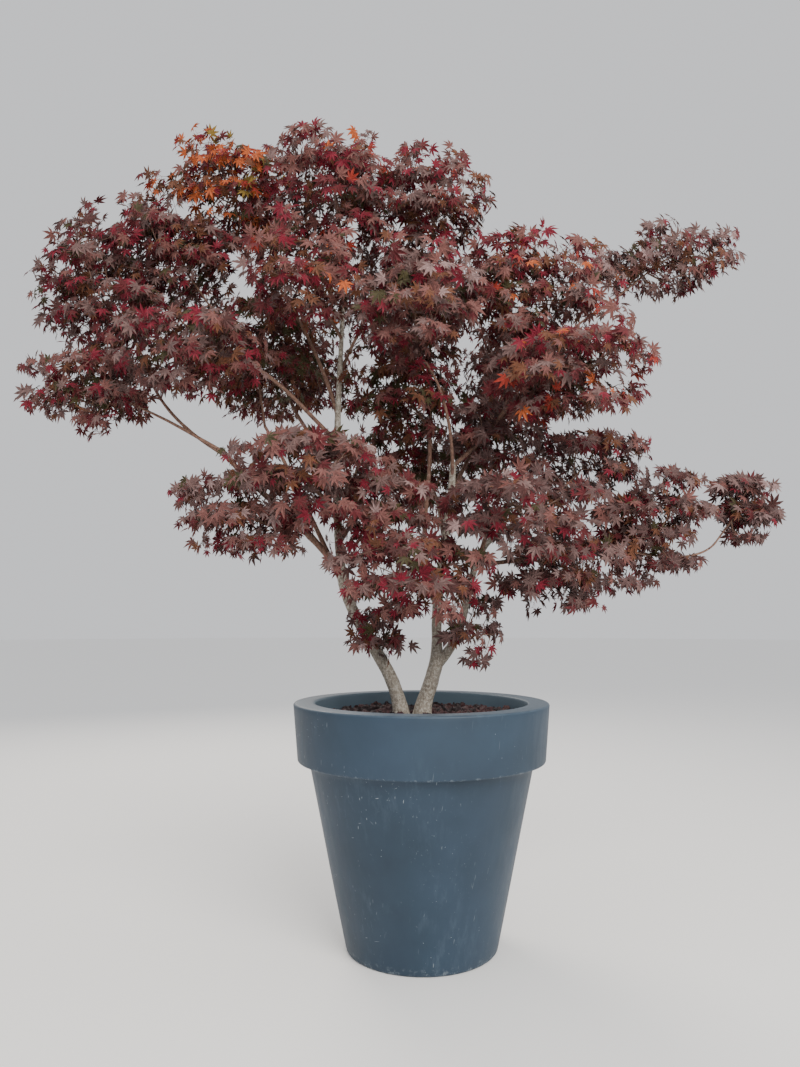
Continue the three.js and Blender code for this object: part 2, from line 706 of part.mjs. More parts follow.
function buildMasses() {
  const masses = Object.entries(MASSES).map(([name, { limb, share = 1, centre, reach }]) => (
    { name, limb, share, heart: vector(centre), reach }
  ));
  masses.forEach((mass) => {
    mass.walls = cellWalls(mass, masses);
    mass.leafLength = Math.min(LEAF_LENGTH, LEAF_SHARE_OF_REACH * Math.min(mass.reach[0], mass.reach[1]));
  });
  const limbs = limbObstacles();
  const built = {};
  masses.forEach((mass, i) => {
    const stems = masses.filter((other) => other !== mass).flatMap(stemObstacles);
    built[mass.name] = Object.keys(LIMBS).reduce(
      (body, limb) => body.subtract(limbTube(limb, GAP)),
      growMass(mass, [...limbs, ...stems], i + 1),
    );
  });
  return built;
}

// Materials

const finish = (color, roughness) => new THREE.MeshStandardMaterial({ color, roughness, metalness: 0 });
const POT_PLASTIC = finish(0x3f4a55, 0.55);
const SOIL = finish(0x3a2420, 0.95);
const PALE_BARK = finish(0x9c9186, 0.85);
const YOUNG_BARK = finish(0x7c5b50, 0.8);
const LEAF_MAUVE = finish(0x7a5560, 0.7);
const LEAF_PURPLE = finish(0x5c3340, 0.7);
const LEAF_CRIMSON = finish(0x8a1f35, 0.7);
const LEAF_ORANGE = finish(0xb04a2c, 0.7);
const LEAF_BRONZE = finish(0x5d3a2a, 0.7);

const LEAF_COLOURS = {
  foliage_left_high: LEAF_PURPLE,
  foliage_left_tip: LEAF_PURPLE,
  foliage_left_mid: LEAF_PURPLE,
  foliage_top_left: LEAF_ORANGE,
  foliage_upper: LEAF_ORANGE,
  foliage_right_high: LEAF_ORANGE,
  foliage_top: LEAF_CRIMSON,
  foliage_top_right: LEAF_CRIMSON,
  foliage_right_mid: LEAF_CRIMSON,
  foliage_front_low: LEAF_CRIMSON,
  foliage_inner_left: LEAF_BRONZE,
  foliage_centre: LEAF_BRONZE,
  foliage_back_left: LEAF_BRONZE,
  foliage_back_low: LEAF_BRONZE,
};

const tree = new THREE.Group();

function place(name, body, material) {
  const mesh = new THREE.Mesh(geometryOf(body), material);
  mesh.name = name;
  tree.add(mesh);
}

place('pot', turned(potProfile()), POT_PLASTIC);
place('soil', turned(soilProfile()), SOIL);
for (const [name, body] of Object.entries(buildLimbs())) {
  place(name, body, LIMBS[name].radii[0] > 20 ? PALE_BARK : YOUNG_BARK);
}
for (const [name, body] of Object.entries(buildMasses())) {
  place(name, body, LEAF_COLOURS[name] ?? LEAF_MAUVE);
}

export default tree;
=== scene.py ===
# A Japanese maple with two stems in a tall round pot, in metres, +Z up. The origin is the centre of the
# pot's underside. Someone who faces the tree looks along +Y, with +X to their right.
import json
import math
from collections import namedtuple
from functools import cache

import bmesh
import bpy
import numpy as np
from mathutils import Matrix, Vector, noise

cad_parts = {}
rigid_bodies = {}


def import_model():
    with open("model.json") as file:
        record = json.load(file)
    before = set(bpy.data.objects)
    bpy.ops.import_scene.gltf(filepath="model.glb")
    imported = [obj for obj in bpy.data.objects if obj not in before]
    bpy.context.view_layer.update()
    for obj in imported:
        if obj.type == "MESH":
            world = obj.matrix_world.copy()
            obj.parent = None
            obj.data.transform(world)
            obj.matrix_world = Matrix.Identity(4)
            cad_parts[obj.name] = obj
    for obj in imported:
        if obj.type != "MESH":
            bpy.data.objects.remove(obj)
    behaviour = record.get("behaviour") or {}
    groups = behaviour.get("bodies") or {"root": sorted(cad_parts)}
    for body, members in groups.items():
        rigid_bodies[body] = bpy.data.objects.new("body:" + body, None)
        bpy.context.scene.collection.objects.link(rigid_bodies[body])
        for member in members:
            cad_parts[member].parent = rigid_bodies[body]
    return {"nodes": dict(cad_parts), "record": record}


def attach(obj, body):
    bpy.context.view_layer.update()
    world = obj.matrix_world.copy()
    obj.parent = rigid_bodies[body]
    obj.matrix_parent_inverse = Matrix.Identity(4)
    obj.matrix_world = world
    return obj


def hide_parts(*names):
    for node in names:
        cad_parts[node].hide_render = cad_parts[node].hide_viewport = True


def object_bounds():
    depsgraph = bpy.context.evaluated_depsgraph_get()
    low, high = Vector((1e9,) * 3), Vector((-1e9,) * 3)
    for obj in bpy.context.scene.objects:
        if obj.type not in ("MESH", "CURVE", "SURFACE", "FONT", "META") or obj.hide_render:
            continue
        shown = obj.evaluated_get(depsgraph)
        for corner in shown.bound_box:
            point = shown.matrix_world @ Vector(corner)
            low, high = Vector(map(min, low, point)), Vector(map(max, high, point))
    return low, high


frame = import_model()
cad_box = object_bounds()

MM = 0.001
CUBIC_MM = 1e-9
UP = np.array([0.0, 0.0, 1.0])

# The pot, from its rim down, in mm.
POT_HEIGHT = 1100
RIM_RADIUS = 600
LIP_WIDTH = 100
LIP_ROUND = 10
BAND_HEIGHT = 262
BAND_FOOT_RADIUS = 578
BAND_FOOT_ROUND = 8
BODY_TOP_RADIUS = 524
BASE_RADIUS = 346
BASE_ROUND = 14
POT_WALL = 9
INNER_TURN = 60
POT_SIDES = 160
ROUND_STEPS = 5
SOIL_TOP = 1018
GAP = 0.3
# Waves in its wall: each has a height, a count round the pot, a shift and a climb.
POT_WAVES = ((0.7, 2, 0, 0.004), (0.35, 5, 1.3, 0.009))
# Its colours: two of the plastic, worn plastic, chalky marks and a lighter inside, which is painted light on
# the inner wall.
POT_SHADES = ("263441", "304050", "6c7d8b", "98a2a8", "5c6d79")
# Its scratches run in three directions: each has a turn, a stretch, a fineness and a share of the surface.
SCRATCHES = ((0.12, 14, 120, 0.26), (-0.7, 18, 150, 0.24), (1.3, 14, 160, 0.22))

# The mulch is broken lumps, laid at random over the soil, in metres. Each tint has its share of them.
MULCH_SEED = 11
MULCH_LUMPS = 1050
MULCH_RADIUS = 0.492
LUMP_SIZES = (0.012, 0.025)
MULCH_DEPTH = 0.012
MULCH_HEAP = 0.012
LUMP_DEPTHS = (0.2, 1.0)
LUMP_STRETCH = ((0.9, 0.6, 0.4), (1.6, 1.0, 0.75))
LUMP_DENTS = 0.16
LUMP_TINTS = {"dark": ("24171a", 0.45), "red": ("3c2124", 0.35), "brown": ("4b3535", 0.2)}

# Stems flare at the soil, and a bough's root keeps inside its parent, in mm.
FLARE = 0.38
FLARE_HEIGHT = 28
FOOT_DEPTH = 10
ROOT_SHARE = 0.72
THICK_LIMB = 20
CURVE_STEPS = 60
NEARBY = 1e-4
# Their meshes, in metres: swellings at forks and joints, and the bark's relief and colours.
STEM_STEP = 0.012
BOUGH_STEP = 0.016
FEWEST_STEPS = 8
STEM_SIDES = 30
BOUGH_SIDES = 14
STEM_JOINT_GAP = 0.19
BOUGH_JOINT_GAP = 0.11
JOINT_EASE = 24
JOINT_SWELL = 0.035
JOINT_SHARPNESS = 24
FORK_SWELL = 0.28
FORK_SPREAD = 1.6
FORK_BLUR = 0.006
ROOT_SWELL = 0.35
ROOT_RIDGES = 5
ROOT_RIDGE_DEPTH = 0.1
ROOT_RIDGE_HEIGHT = 0.03
RIDGE_DEPTH = 0.035
RIDGES_AROUND = 4
RIDGES_IN_A_METRE = 9
KNOT_DEPTH = 0.09
KNOTS_IN_A_METRE = 16
GRAIN_DEPTH = 0.0006
GRAINS_IN_A_METRE = 120
BARK_SHIFT = 3.7
FIRST_SIDE = (0.31, 0.87, 0.38)
BARKS = {
    "bark_pale": ("pale_bark", ("62584c", "8a8176", "b0aba0"), 0.09),
    "bark_young": ("young_bark", ("47302a", "76584a", "9a8678"), 0.0),
}

# Each limb is a cubic curve, in mm. It starts on its parent, at a share of the parent's curve, sets out
# along the first vector, arrives along the second at its end, and tapers from one radius to the other.
Limb = namedtuple("Limb", "parent share out into end radii")
FEET = {"stem_left": (-90, 0), "stem_right": (0, 0)}
LIMB_ROWS = {
    "stem_left": (None, 1, (-20, -20, 270), (-30, 30, 260), (-380, -20, 1710), (34, 23)),
    "stem_right": (None, 1, (10, 0, 100), (20, 0, 100), (80, 0, 1300), (37, 32)),
    "leader_left": ("stem_left", 1, (-70, 80, 540), (0, -10, 540), (-380, 0, 3330), (21, 7)),
    "leader_right": ("stem_right", 1, (-30, 0, 320), (10, 0, 320), (160, 0, 2250), (26, 14)),
    "bough_left_long": ("stem_left", 0.97, (-140, -50, 240), (-160, 50, 210), (-920, -170, 2260), (17, 11)),
    "bough_left_arm": (
        "bough_left_long", 0.96, (-200, 30, 120), (-60, 40, 220), (-1340, -60, 2730), (10, 7)),
    "bough_left_low": ("bough_left_long", 0.3, (-100, -50, 70), (-90, -70, 70), (-770, -270, 1950), (12, 8)),
    "bough_left_inner": ("stem_left", 0.9, (-150, 120, 290), (-140, 30, 230), (-800, 210, 2480), (13, 8)),
    "bough_left_high": ("leader_left", 0.4, (-130, 0, 120), (-150, -60, 80), (-800, -80, 2700), (13, 8)),
    "bough_left_upper": (
        "bough_left_high", 0.9, (-160, 30, 150), (-140, 40, 150), (-1080, 100, 3090), (8, 6)),
    "bough_top_left": ("leader_left", 0.48, (-90, 20, 300), (-160, 0, 240), (-760, 100, 3240), (11, 7)),
    "bough_right_high": ("leader_right", 0.98, (150, -10, 120), (90, 30, 170), (520, 40, 2680), (13, 9)),
    "bough_right_upper": (
        "bough_right_high", 0.66, (40, -10, 140), (30, -10, 130), (450, -60, 2890), (8, 6)),
    "bough_wing": ("bough_right_high", 0.9, (110, 10, 170), (160, 20, 100), (930, 80, 3060), (8, 6)),
    "bough_centre": ("leader_right", 0.25, (-120, 140, 300), (-20, 30, 330), (50, 150, 2450), (13, 9)),
    "bough_top_right": ("bough_centre", 0.9, (20, 0, 300), (40, -50, 270), (70, 50, 3290), (8, 6)),
    "bough_inner_right": ("leader_right", 0.9, (10, -50, 200), (-120, -40, 120), (0, -150, 2730), (9, 6)),
    "bough_right": ("stem_right", 0.92, (210, -70, 170), (300, -20, 90), (450, -90, 1930), (24, 10)),
    "bough_right_mid": ("bough_right", 0.84, (-20, 70, 150), (100, 0, 150), (420, 100, 2240), (10, 7)),
    "bough_right_low": ("bough_right", 0.66, (90, -110, -20), (120, 10, 0), (520, -140, 1760), (12, 9)),
    "bough_far_right": ("bough_right_low", 0.8, (140, 10, 80), (140, 10, 10), (940, -100, 1830), (9, 7)),
    "bough_far_tip": ("bough_far_right", 0.85, (160, 0, -40), (100, 20, 120), (1400, -70, 1850), (7, 5)),
    "bough_back_left": ("leader_left", 0.24, (-30, 210, 230), (-80, 120, 270), (-740, 480, 2780), (13, 8)),
    "bough_back_right": ("leader_right", 0.8, (70, 240, 210), (130, 110, 270), (480, 480, 2740), (12, 8)),
    "bough_back_top": ("leader_left", 0.6, (60, 120, 260), (10, 110, 250), (-260, 400, 3300), (10, 6)),
    "bough_front_left": ("leader_left", 0.14, (-20, -120, 90), (-70, -120, 60), (-500, -370, 2080), (12, 8)),
    "bough_front": ("leader_right", 0.4, (-50, -110, 50), (-80, -100, -10), (-60, -300, 1740), (11, 8)),
    "bough_front_right": ("bough_right", 0.72, (20, -100, 120), (30, -110, 40), (370, -360, 1990), (10, 7)),
}
LIMBS = {name: Limb(*row) for name, row in LIMB_ROWS.items()}

# Each mass of foliage grows from one limb, at a share of its length, round a centre, and its leaves
# reach the three half sizes, in mm. The last word names its mix of colours.
MASSES = {
    "left_tip": ("bough_left_arm", 1, (-1560, -50, 3110), (345, 440, 420), "purple"),
    "left_high": ("bough_left_upper", 1, (-1260, 120, 3360), (410, 440, 310), "purple"),
    "left_mid": ("bough_left_high", 1, (-1030, -400, 2680), (400, 380, 260), "purple"),
    "left_low": ("bough_left_long", 1, (-1560, -150, 2580), (380, 360, 265), "rose"),
    "lower_left": ("bough_left_low", 1, (-760, -340, 1990), (390, 380, 270), "rose"),
    "inner_left": ("bough_left_inner", 1, (-840, 210, 2850), (400, 380, 350), "bronze"),
    "top_left": ("bough_top_left", 1, (-990, 120, 3685), (465, 440, 270), "fire_and_backlight"),
    "top": ("leader_left", 1, (-435, 0, 3610), (470, 460, 335), "crimson"),
    "upper": ("leader_left", 0.72, (-560, -340, 3050), (340, 400, 260), "orange"),
    "top_right": ("bough_top_right", 1, (60, 20, 3560), (340, 420, 280), "crimson"),
    "centre_high": ("bough_inner_right", 1, (-30, -360, 2910), (370, 390, 280), "rose"),
    "centre": ("bough_centre", 1, (-90, 140, 2630), (370, 360, 330), "bronze"),
    "right_high": ("bough_right_upper", 1, (540, -170, 3030), (470, 420, 280), "orange"),
    "right_wing": ("bough_wing", 1, (1240, 100, 3315), (430, 380, 210), "mauve"),
    "right_mid": ("bough_right_high", 1, (670, -360, 2610), (430, 420, 280), "crimson"),
    "centre_right": ("bough_right_mid", 1, (420, 130, 2440), (370, 360, 300), "shaded_dusk"),
    "right_inner": ("bough_right", 1, (880, 260, 2300), (380, 380, 230), "shaded_dusk"),
    "right_front": ("bough_front_right", 1, (410, -520, 1950), (380, 400, 240), "shaded_dusk"),
    "right_low": ("bough_right_low", 1, (670, -160, 1720), (380, 380, 230), "shaded_dusk"),
    "far_right": ("bough_far_right", 1, (1110, 0, 1940), (380, 400, 300), "shaded_dusk"),
    "far_tip": ("bough_far_tip", 1, (1530, -60, 2015), (200, 230, 175), "pale"),
    "front_left": ("bough_front_left", 1, (-500, -540, 2120), (360, 390, 240), "rose"),
    "front_low": ("bough_front", 1, (-40, -470, 1690), (400, 380, 240), "purple"),
    "low_mid": ("leader_left", 0.09, (-230, -120, 2020), (330, 340, 270), "rose"),
    "sprig_left": ("stem_left", 0.45, (-205, -130, 1405), (190, 200, 132), "shaded_dusk"),
    "sprig_right": ("bough_right", 0.3, (240, -120, 1450), (180, 200, 190), "shaded_dusk"),
    "back_left": ("bough_back_left", 1, (-780, 720, 2940), (460, 440, 350), "bronze"),
    "back_right": ("bough_back_right", 1, (620, 720, 2880), (470, 440, 350), "mauve"),
    "back_top": ("bough_back_top", 1, (-100, 660, 3310), (450, 440, 370), "mauve"),
    "back_low": ("leader_right", 0.6, (60, 700, 2320), (480, 440, 330), "bronze"),
}

# The rule that the foliage grows by, as in the solids, in mm.
LEAF_LENGTH = 250
LEAF_SHARE_OF_REACH = 0.64
FEWEST_LEAVES = 5
LEAVES_IN_A_CUBIC_METRE = 30
PLACE_TRIES = 14
PLACE_INSET = 0.75
PLACE_INSET_UP = 0.22
PLACE_MARGIN = 30
FAR_APART = 400
PIPE_POWER = 2.6
FORK_SHARE = 0.55
FORK_MARGIN = 12
FORK_CHOICES = 4
INNERMOST = 0.25
PATH_COST = 0.3
SIBLING_COST = 60
STEM_PATH = 120
STEM_FORKS = (0.4, 0.55, 0.7, 0.85, 1)
STEM_SHARES = (0, 0.35, 0.7, 1)
STEM_BEND = 0.12
CELL_FLATNESS = 1.25
FIRST_SEED = 104729
SEED_STEP = 7919
MULTIPLIER = 48271
MODULUS = 2147483647

# The finer twigs that carry the real leaves.
FINE_TWIGS = 22
FINE_TWIGS_IN_A_CUBIC_METRE = 860
FINE_INSET = 45
FINE_TRIES = 8
FINE_MARGIN = 8
TWIG_RADIUS = 1.1
TWIG_TAPER = (0.85, 0.6)
TWIG_ARCH = 0.1
STOUT_TWIG = 3
MASS_STEM_STEPS = 9
MASS_STEM_SIDES = 7
STEM_FILL = 0.85
STEM_KNEE = 0.4
KNEE_LOAD = 0.6
TIP_LOAD = 4
LIMB_AIR = 8
# They keep clear of limbs: a first share, a last share and a count, for a limb and for a twig.
BEADS = (0.02, 1, 40)
CHECKED_STEPS = (0.15, 1, 6)
# Some masses are fuller than others.
FULLNESS = dict(
    left_tip=1.4, left_high=1.35, left_low=1.2, left_mid=1.1, right_wing=1.15, far_right=1.15,
    far_tip=3.2, sprig_left=0.6, sprig_right=0.85, back_left=0.85, back_right=0.85, back_top=0.85,
    back_low=0.85)
# Their tips gather in tiers that fall away from the heart of the mass, in mm.
TIER_STEP = 135
TIER_FALL = 0.3
TIER_HOLD = 0.8
# The tiers of the wing fall less and rise to the right.
TIER_LEANS = {"right_wing": (0.1, 0.4)}
# They grow in clumps, with open places between them, and reach out further in some directions.
CLUMP_SIZE = 150
CLUMP_FLATNESS = 1.5
CLUMP_LEVEL = -0.04
RAGGED_SIZE = 0.55
RAGGED_REACH = 0.84
RAGGED_DEPTH = 0.55
SMALL_REACH = 250

# Leaves stand in opposite pairs along the last of each twig, on stalks of their own, in metres.
LEAF_SEED = 29
LEAF_RADIUS = 0.047
LEAF_SPREAD = 0.17
PAIR_SPACING = 0.027
PAIR_JITTER = (0.75, 1.25)
PAIR_TURN = 0.3
NEARLY_UPRIGHT = 0.2
SPRAY_TURN = 0.4
MOST_PAIRS = 5
STALK_PULLS = (0.55, 0.85, 0.2)
STALK_LENGTHS = (0.022, 0.042)
STALK_RADIUS = 0.0009
STALK_SHADE = "7a2a34"
# They may stand this far past the reach of their mass and past its walls, in mm, and past the box of the
# solids, as a share of its sides.
LEAF_OVERHANG = 12
LEAF_MINGLING = 45
LEAF_PROUD_SHARE = 0.026
# The form of a leaf of size 1, with its angles in degrees.
LEAF_KINDS = 6
LOBE_ANGLES = (-118, -76, -37, 0, 37, 76, 118)
LOBE_LENGTHS = (0.42, 0.78, 0.96, 1.0, 0.96, 0.78, 0.42)
LOBE_WAIST = 0.56
LOBE_HALF_WIDTH = 0.135
NOTCH_DEPTH = 0.4
HEEL_ANGLE = 150
HEEL_LENGTH = 0.12
LOBE_WANDER = 4
LOBE_STRETCH = (0.9, 1.06)
DROOPS = (0.1, 0.4)
FOLDS = (0.03, 0.08)
TWISTS = (-0.12, 0.12)
# Blades lie like tiles: they face up and away from a point between the heart of their mass and the axis
# of the crown, and a little to the light, and their tips hang.
CROWN_AXIS = np.array([-100, 100])
CROWN_PULL = 0.22
LIGHT_SIDE = np.array([0.05, -0.85, 0])
# The outermost masses turn further to the light.
LIGHT_PULLS = dict(
    far_tip=3.0, far_right=1.6, right_wing=1.5, left_tip=1.6, left_low=1.6, left_high=1.4)
BLADE_LIFT = (-0.1, 0.9)
BLADE_SCATTER = 0.38
BLADE_OUT = 0.4
BLADE_HANG = 0.6


def srgb(text):
    channels = [int(text[i:i + 2], 16) / 255 for i in (0, 2, 4)]
    return [c / 12.92 if c < 0.04045 else ((c + 0.055) / 1.055) ** 2.4 for c in channels]


# The leaf colours of each slot, and how they are mixed.
COLOURS = {
    "leaf_mauve": dict(grey_mauve="674f4c", rose_mauve="6d4540", pale_mauve="876e6c", dusk_mauve="543d3b"),
    "leaf_purple": dict(purple="452624", wine="561c20"),
    "leaf_crimson": dict(crimson="6c1124", scarlet="882a1e"),
    "leaf_orange": dict(orange="a8542c", gold="80682c"),
    "leaf_bronze": dict(bronze="613a26", olive="3e371f"),
}
MIXES = {
    "mauve": dict(
        grey_mauve=42, rose_mauve=22, dusk_mauve=12, pale_mauve=8, bronze=6, olive=1, crimson=5, wine=4),
    "rose": dict(rose_mauve=38, grey_mauve=30, pale_mauve=12, wine=8, crimson=6, bronze=4, olive=2),
    "purple": dict(grey_mauve=28, rose_mauve=26, wine=12, crimson=12, purple=12, bronze=5, olive=5),
    "crimson": dict(rose_mauve=30, crimson=18, wine=15, grey_mauve=22, bronze=9, scarlet=4, orange=2),
    "orange": dict(
        rose_mauve=34, grey_mauve=12, bronze=13, crimson=14, wine=13, scarlet=4, orange=4, olive=4),
    # The fire mix at the top left is partly the leaves' own orange tints, partly painted warm light shining
    # through them.
    "fire_and_backlight": dict(orange=34, scarlet=22, bronze=16, wine=8, rose_mauve=8, olive=6, gold=6),
    # The bronze mix on the inner and back masses is partly the leaves' own bronze and olive, partly painted
    # warm shade.
    "bronze": dict(bronze=28, olive=20, rose_mauve=22, wine=14, purple=8, crimson=8),
    # The dusk mix darkens the masses on the right and the low sprigs, as painted shade.
    "shaded_dusk": dict(
        dusk_mauve=40, grey_mauve=20, rose_mauve=12, purple=11, wine=6, crimson=5, pale_mauve=3, bronze=3),
    "pale": dict(grey_mauve=42, dusk_mauve=24, pale_mauve=14, rose_mauve=10, purple=7, wine=3),
}
# Leaves that hang under their twig are redder, partly for their own redder undersides and partly as painted
# light shining through them, and those deep in a mass are darker and warmer, as painted shade.
# Hanging leaves are crimson and wine: partly their own redder undersides, partly painted light shining
# through them.
UNDER_LIT_THROUGH_MIX = dict(crimson=56, wine=30, bronze=14)
UNDER_SLOPE = -0.25
UNDER_SIZE = 0.82
UNDER_SHARE = 0.45
# The darker, warmer colours of the leaves deep in a mass are painted shade.
SHADED_INNER_MIX = dict(bronze=36, wine=24, purple=20, olive=20)
SHADE_DEPTH = 0.56
SHADED_INNER_SHARE = 0.5
OWN_COLOUR_SHARE = 0.65


def seeded_random(seed):
    """A plain repeatable source of numbers between 0 and 1."""
    state = seed * SEED_STEP + FIRST_SEED

    def draw():
        nonlocal state
        state = (state * MULTIPLIER) % MODULUS
        return state / MODULUS

    draw()
    draw()
    return draw


def unit(v):
    return v / np.linalg.norm(v)


# Meshes

class Shape:
    """Corners and triangles that become one mesh."""

    def __init__(self):
        self.corners = []
        self.triangles = []
        self.count = 0

    def add(self, corners, triangles):
        self.corners.append(np.asarray(corners, float))
        self.triangles.append(np.asarray(triangles, int) + self.count)
        self.count += len(corners)

    def mesh(self, name, smooth):
        mesh = bpy.data.meshes.new(name)
        corners = np.concatenate(self.corners)
        triangles = np.concatenate(self.triangles)
        mesh.from_pydata(corners.tolist(), [], triangles.tolist())
        mesh.update()
        mesh.polygons.foreach_set("use_smooth", [smooth] * len(mesh.polygons))
        thing = bpy.data.objects.new(name, mesh)
        bpy.context.collection.objects.link(thing)
        return thing


def dress(piece, material):
    piece.data.materials.append(material)
    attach(piece, "root")


def rings(points, radii, sides):
    """Rings of corners round a line, turned as little as can be from one to the next."""
    points = np.asarray(points, float)
    tangents = np.gradient(points, axis=0)
    tangents /= np.linalg.norm(tangents, axis=1)[:, None]
    side = np.cross(tangents[0], FIRST_SIDE)
    angles = 2 * math.pi * np.arange(sides) / sides
    made = []
    for point, tangent, radius in zip(points, tangents, radii):
        side = unit(side - tangent * side.dot(tangent))
        third = np.cross(tangent, side)
        ring = np.outer(radius * np.cos(angles), side) + np.outer(radius * np.sin(angles), third)
        made.append(point + ring)
    return made


def tube_triangles(ring_count, sides):
    k = np.arange(sides)
    following = (k + 1) % sides
    faces = []
    for i in range(ring_count - 1):
        a = i * sides + k
        b = i * sides + following
        faces.append(np.stack([a, b, b + sides], axis=1))
        faces.append(np.stack([a, b + sides, a + sides], axis=1))
    return np.concatenate(faces)


def add_tube(shape, made, tip):
    """A tube through rings of corners that is closed by a point at its tip."""
    count = len(made)
    sides = len(made[0])
    k = np.arange(sides)
    last = (count - 1) * sides
    cap = np.stack([last + k, last + (k + 1) % sides, np.full(sides, last + sides)], axis=1)
    shape.add(np.vstack([*made, tip]), np.concatenate([tube_triangles(count, sides), cap]))


# Limbs

def bezier(control, shares):
    t = np.asarray(shares, float)[:, None]
    a, b, c, d = control
    return (1 - t) ** 3 * a + 3 * (1 - t) ** 2 * t * b + 3 * (1 - t) * t ** 2 * c + t ** 3 * d


@cache
def limb_control(name):
    limb = LIMBS[name]
    if name in FEET:
        start = np.array([*FEET[name], SOIL_TOP + GAP])
    else:
        start = limb_point(limb.parent, limb.share)
    end = np.array(limb.end, float)
    return start, start + limb.out, end - limb.into, end


def limb_point(name, share):
    return bezier(limb_control(name), [share])[0]


def limb_tangent(name, share):
    low, high = max(share - NEARBY, 0), min(share + NEARBY, 1)
    return unit(limb_point(name, high) - limb_point(name, low))


def limb_radius(name, share):
    """A limb that springs from its parent's side is no thicker there than fits inside the parent."""
    limb = LIMBS[name]
    first, last = limb.radii
    if limb.share < 1:
        first = min(first, ROOT_SHARE * limb_radius(limb.parent, limb.share))
    radius = first + (min(last, first) - first) * share
    if name in FEET:
        height = limb_point(name, share)[2] - SOIL_TOP
        radius *= 1 + FLARE * math.exp(-height / FLARE_HEIGHT)
    return radius


def limb_length(name):
    points = bezier(limb_control(name), np.linspace(0, 1, CURVE_STEPS))
    return np.linalg.norm(np.diff(points, axis=0), axis=1).sum() * MM


def bark_relief(point, along, around, radius, offset):
    """How far the bark stands out at one corner: long low ridges, knots and fine grain."""
    bearing = Vector((math.cos(around), math.sin(around), 0)) * RIDGES_AROUND
    ridge = noise.noise(bearing + Vector((0, 0, RIDGES_IN_A_METRE * along + offset)))
    knot = noise.noise(Vector(point) * KNOTS_IN_A_METRE + Vector((offset, 0, 0)))
    grain = noise.noise(Vector(point) * GRAINS_IN_A_METRE)
    return radius * (RIDGE_DEPTH * ridge + KNOT_DEPTH * knot) + GRAIN_DEPTH * grain


def limb_line(name):
    """The middle line and the radii of a limb, swollen where its boughs leave it and at its root."""
    length = limb_length(name)
    steps = max(FEWEST_STEPS, int(length / (STEM_STEP if is_thick(name) else BOUGH_STEP)))
    shares = np.linspace(0, 1, steps + 1)
    points = bezier(limb_control(name), shares) * MM
    radii = np.array([limb_radius(name, share) for share in shares]) * MM
    for child, other in LIMBS.items():
        if other.parent == name and other.share < 1:
            size = limb_radius(child, 0) * MM
            reach = FORK_SPREAD * size + FORK_BLUR
            radii += FORK_SWELL * size * np.exp(-(((shares - other.share) * length / reach) ** 2))
    if LIMBS[name].share < 1:
        radii *= 1 + ROOT_SWELL * np.exp(-shares * length / (FORK_SPREAD * radii[0]))
    if name in FEET:
        points = np.vstack([points[0] - UP * FOOT_DEPTH * MM, points])
        radii = np.append(radii[0], radii)
    return points, radii


def is_thick(name):
    return LIMBS[name].radii[0] > THICK_LIMB


def eased(values, steps):
    """The same row of values with each kink spread over some steps."""
    values = np.array(values, float)
    for _ in range(steps):
        values[1:-1] = (values[:-2] + 2 * values[1:-1] + values[2:]) / 4
    return values


def add_limb(shape, name, offset):
    """A limb with the bark's relief. A stem and the leader on its tip are one run."""
    points, radii = limb_line(name)
    for child, other in LIMBS.items():
        if other.parent == name and other.share == 1:
            more_points, more_radii = limb_line(child)
            points = eased(np.vstack([points, more_points[1:]]), JOINT_EASE)
            radii = eased(np.append(radii, more_radii[1:]), JOINT_EASE)
    along = np.append(0, np.cumsum(np.linalg.norm(np.diff(points, axis=0), axis=1)))
    joint_gap = STEM_JOINT_GAP if is_thick(name) else BOUGH_JOINT_GAP
    joints = 0.5 * (1 + np.cos(2 * math.pi * along / joint_gap))
    radii = radii * (1 + JOINT_SWELL * joints ** JOINT_SHARPNESS)
    sides = STEM_SIDES if is_thick(name) else BOUGH_SIDES
    made = rings(points, radii, sides)
    angles = 2 * math.pi * np.arange(sides) / sides
    for i, ring in enumerate(made):
        for k in range(sides):
            away = (ring[k] - points[i]) / radii[i]
            out = bark_relief(ring[k], along[i], angles[k], radii[i], offset)
            if name in FEET:
                height = max(points[i][2] - SOIL_TOP * MM, 0)
                depth = ROOT_RIDGE_DEPTH * radii[i] * math.exp(-height / ROOT_RIDGE_HEIGHT)
                out += depth * math.cos(ROOT_RIDGES * angles[k] + offset)
            ring[k] += away * out
    add_tube(shape, made, points[-1])


# Foliage: the rule of the solids

def mean_reach(mass):
    rx, ry, rz = mass["reach"]
    return (rx + ry + rz * CELL_FLATNESS) / 3


def cell_walls(mass, masses):
    """The flat walls between a mass and its neighbours, as normals and distances."""
    stretch = np.array([1, 1, CELL_FLATNESS])
    own = mass["heart"] * stretch
    normals = []
    distances = []
    for other in masses:
        if other is mass:
            continue
        its = other["heart"] * stretch
        level = (its.dot(its) - own.dot(own) + mean_reach(mass) ** 2 - mean_reach(other) ** 2) / 2
        normal = (its - own) * stretch
        length = np.linalg.norm(normal)
        normals.append(normal / length)
        distances.append(level / length)
    return np.array(normals), np.array(distances)


def in_space(mass, point, margin, wall_margin=None):
    """Whether a point lies in a mass's own space, at least `margin` from its edge and its walls."""
    offset = (point - mass["heart"]) / (mass["reach"] - margin)
    if offset.dot(offset) > 1:
        return False
    normals, distances = mass["walls"]
    wall_margin = margin if wall_margin is None else wall_margin
    return (normals @ point <= distances - wall_margin).all()


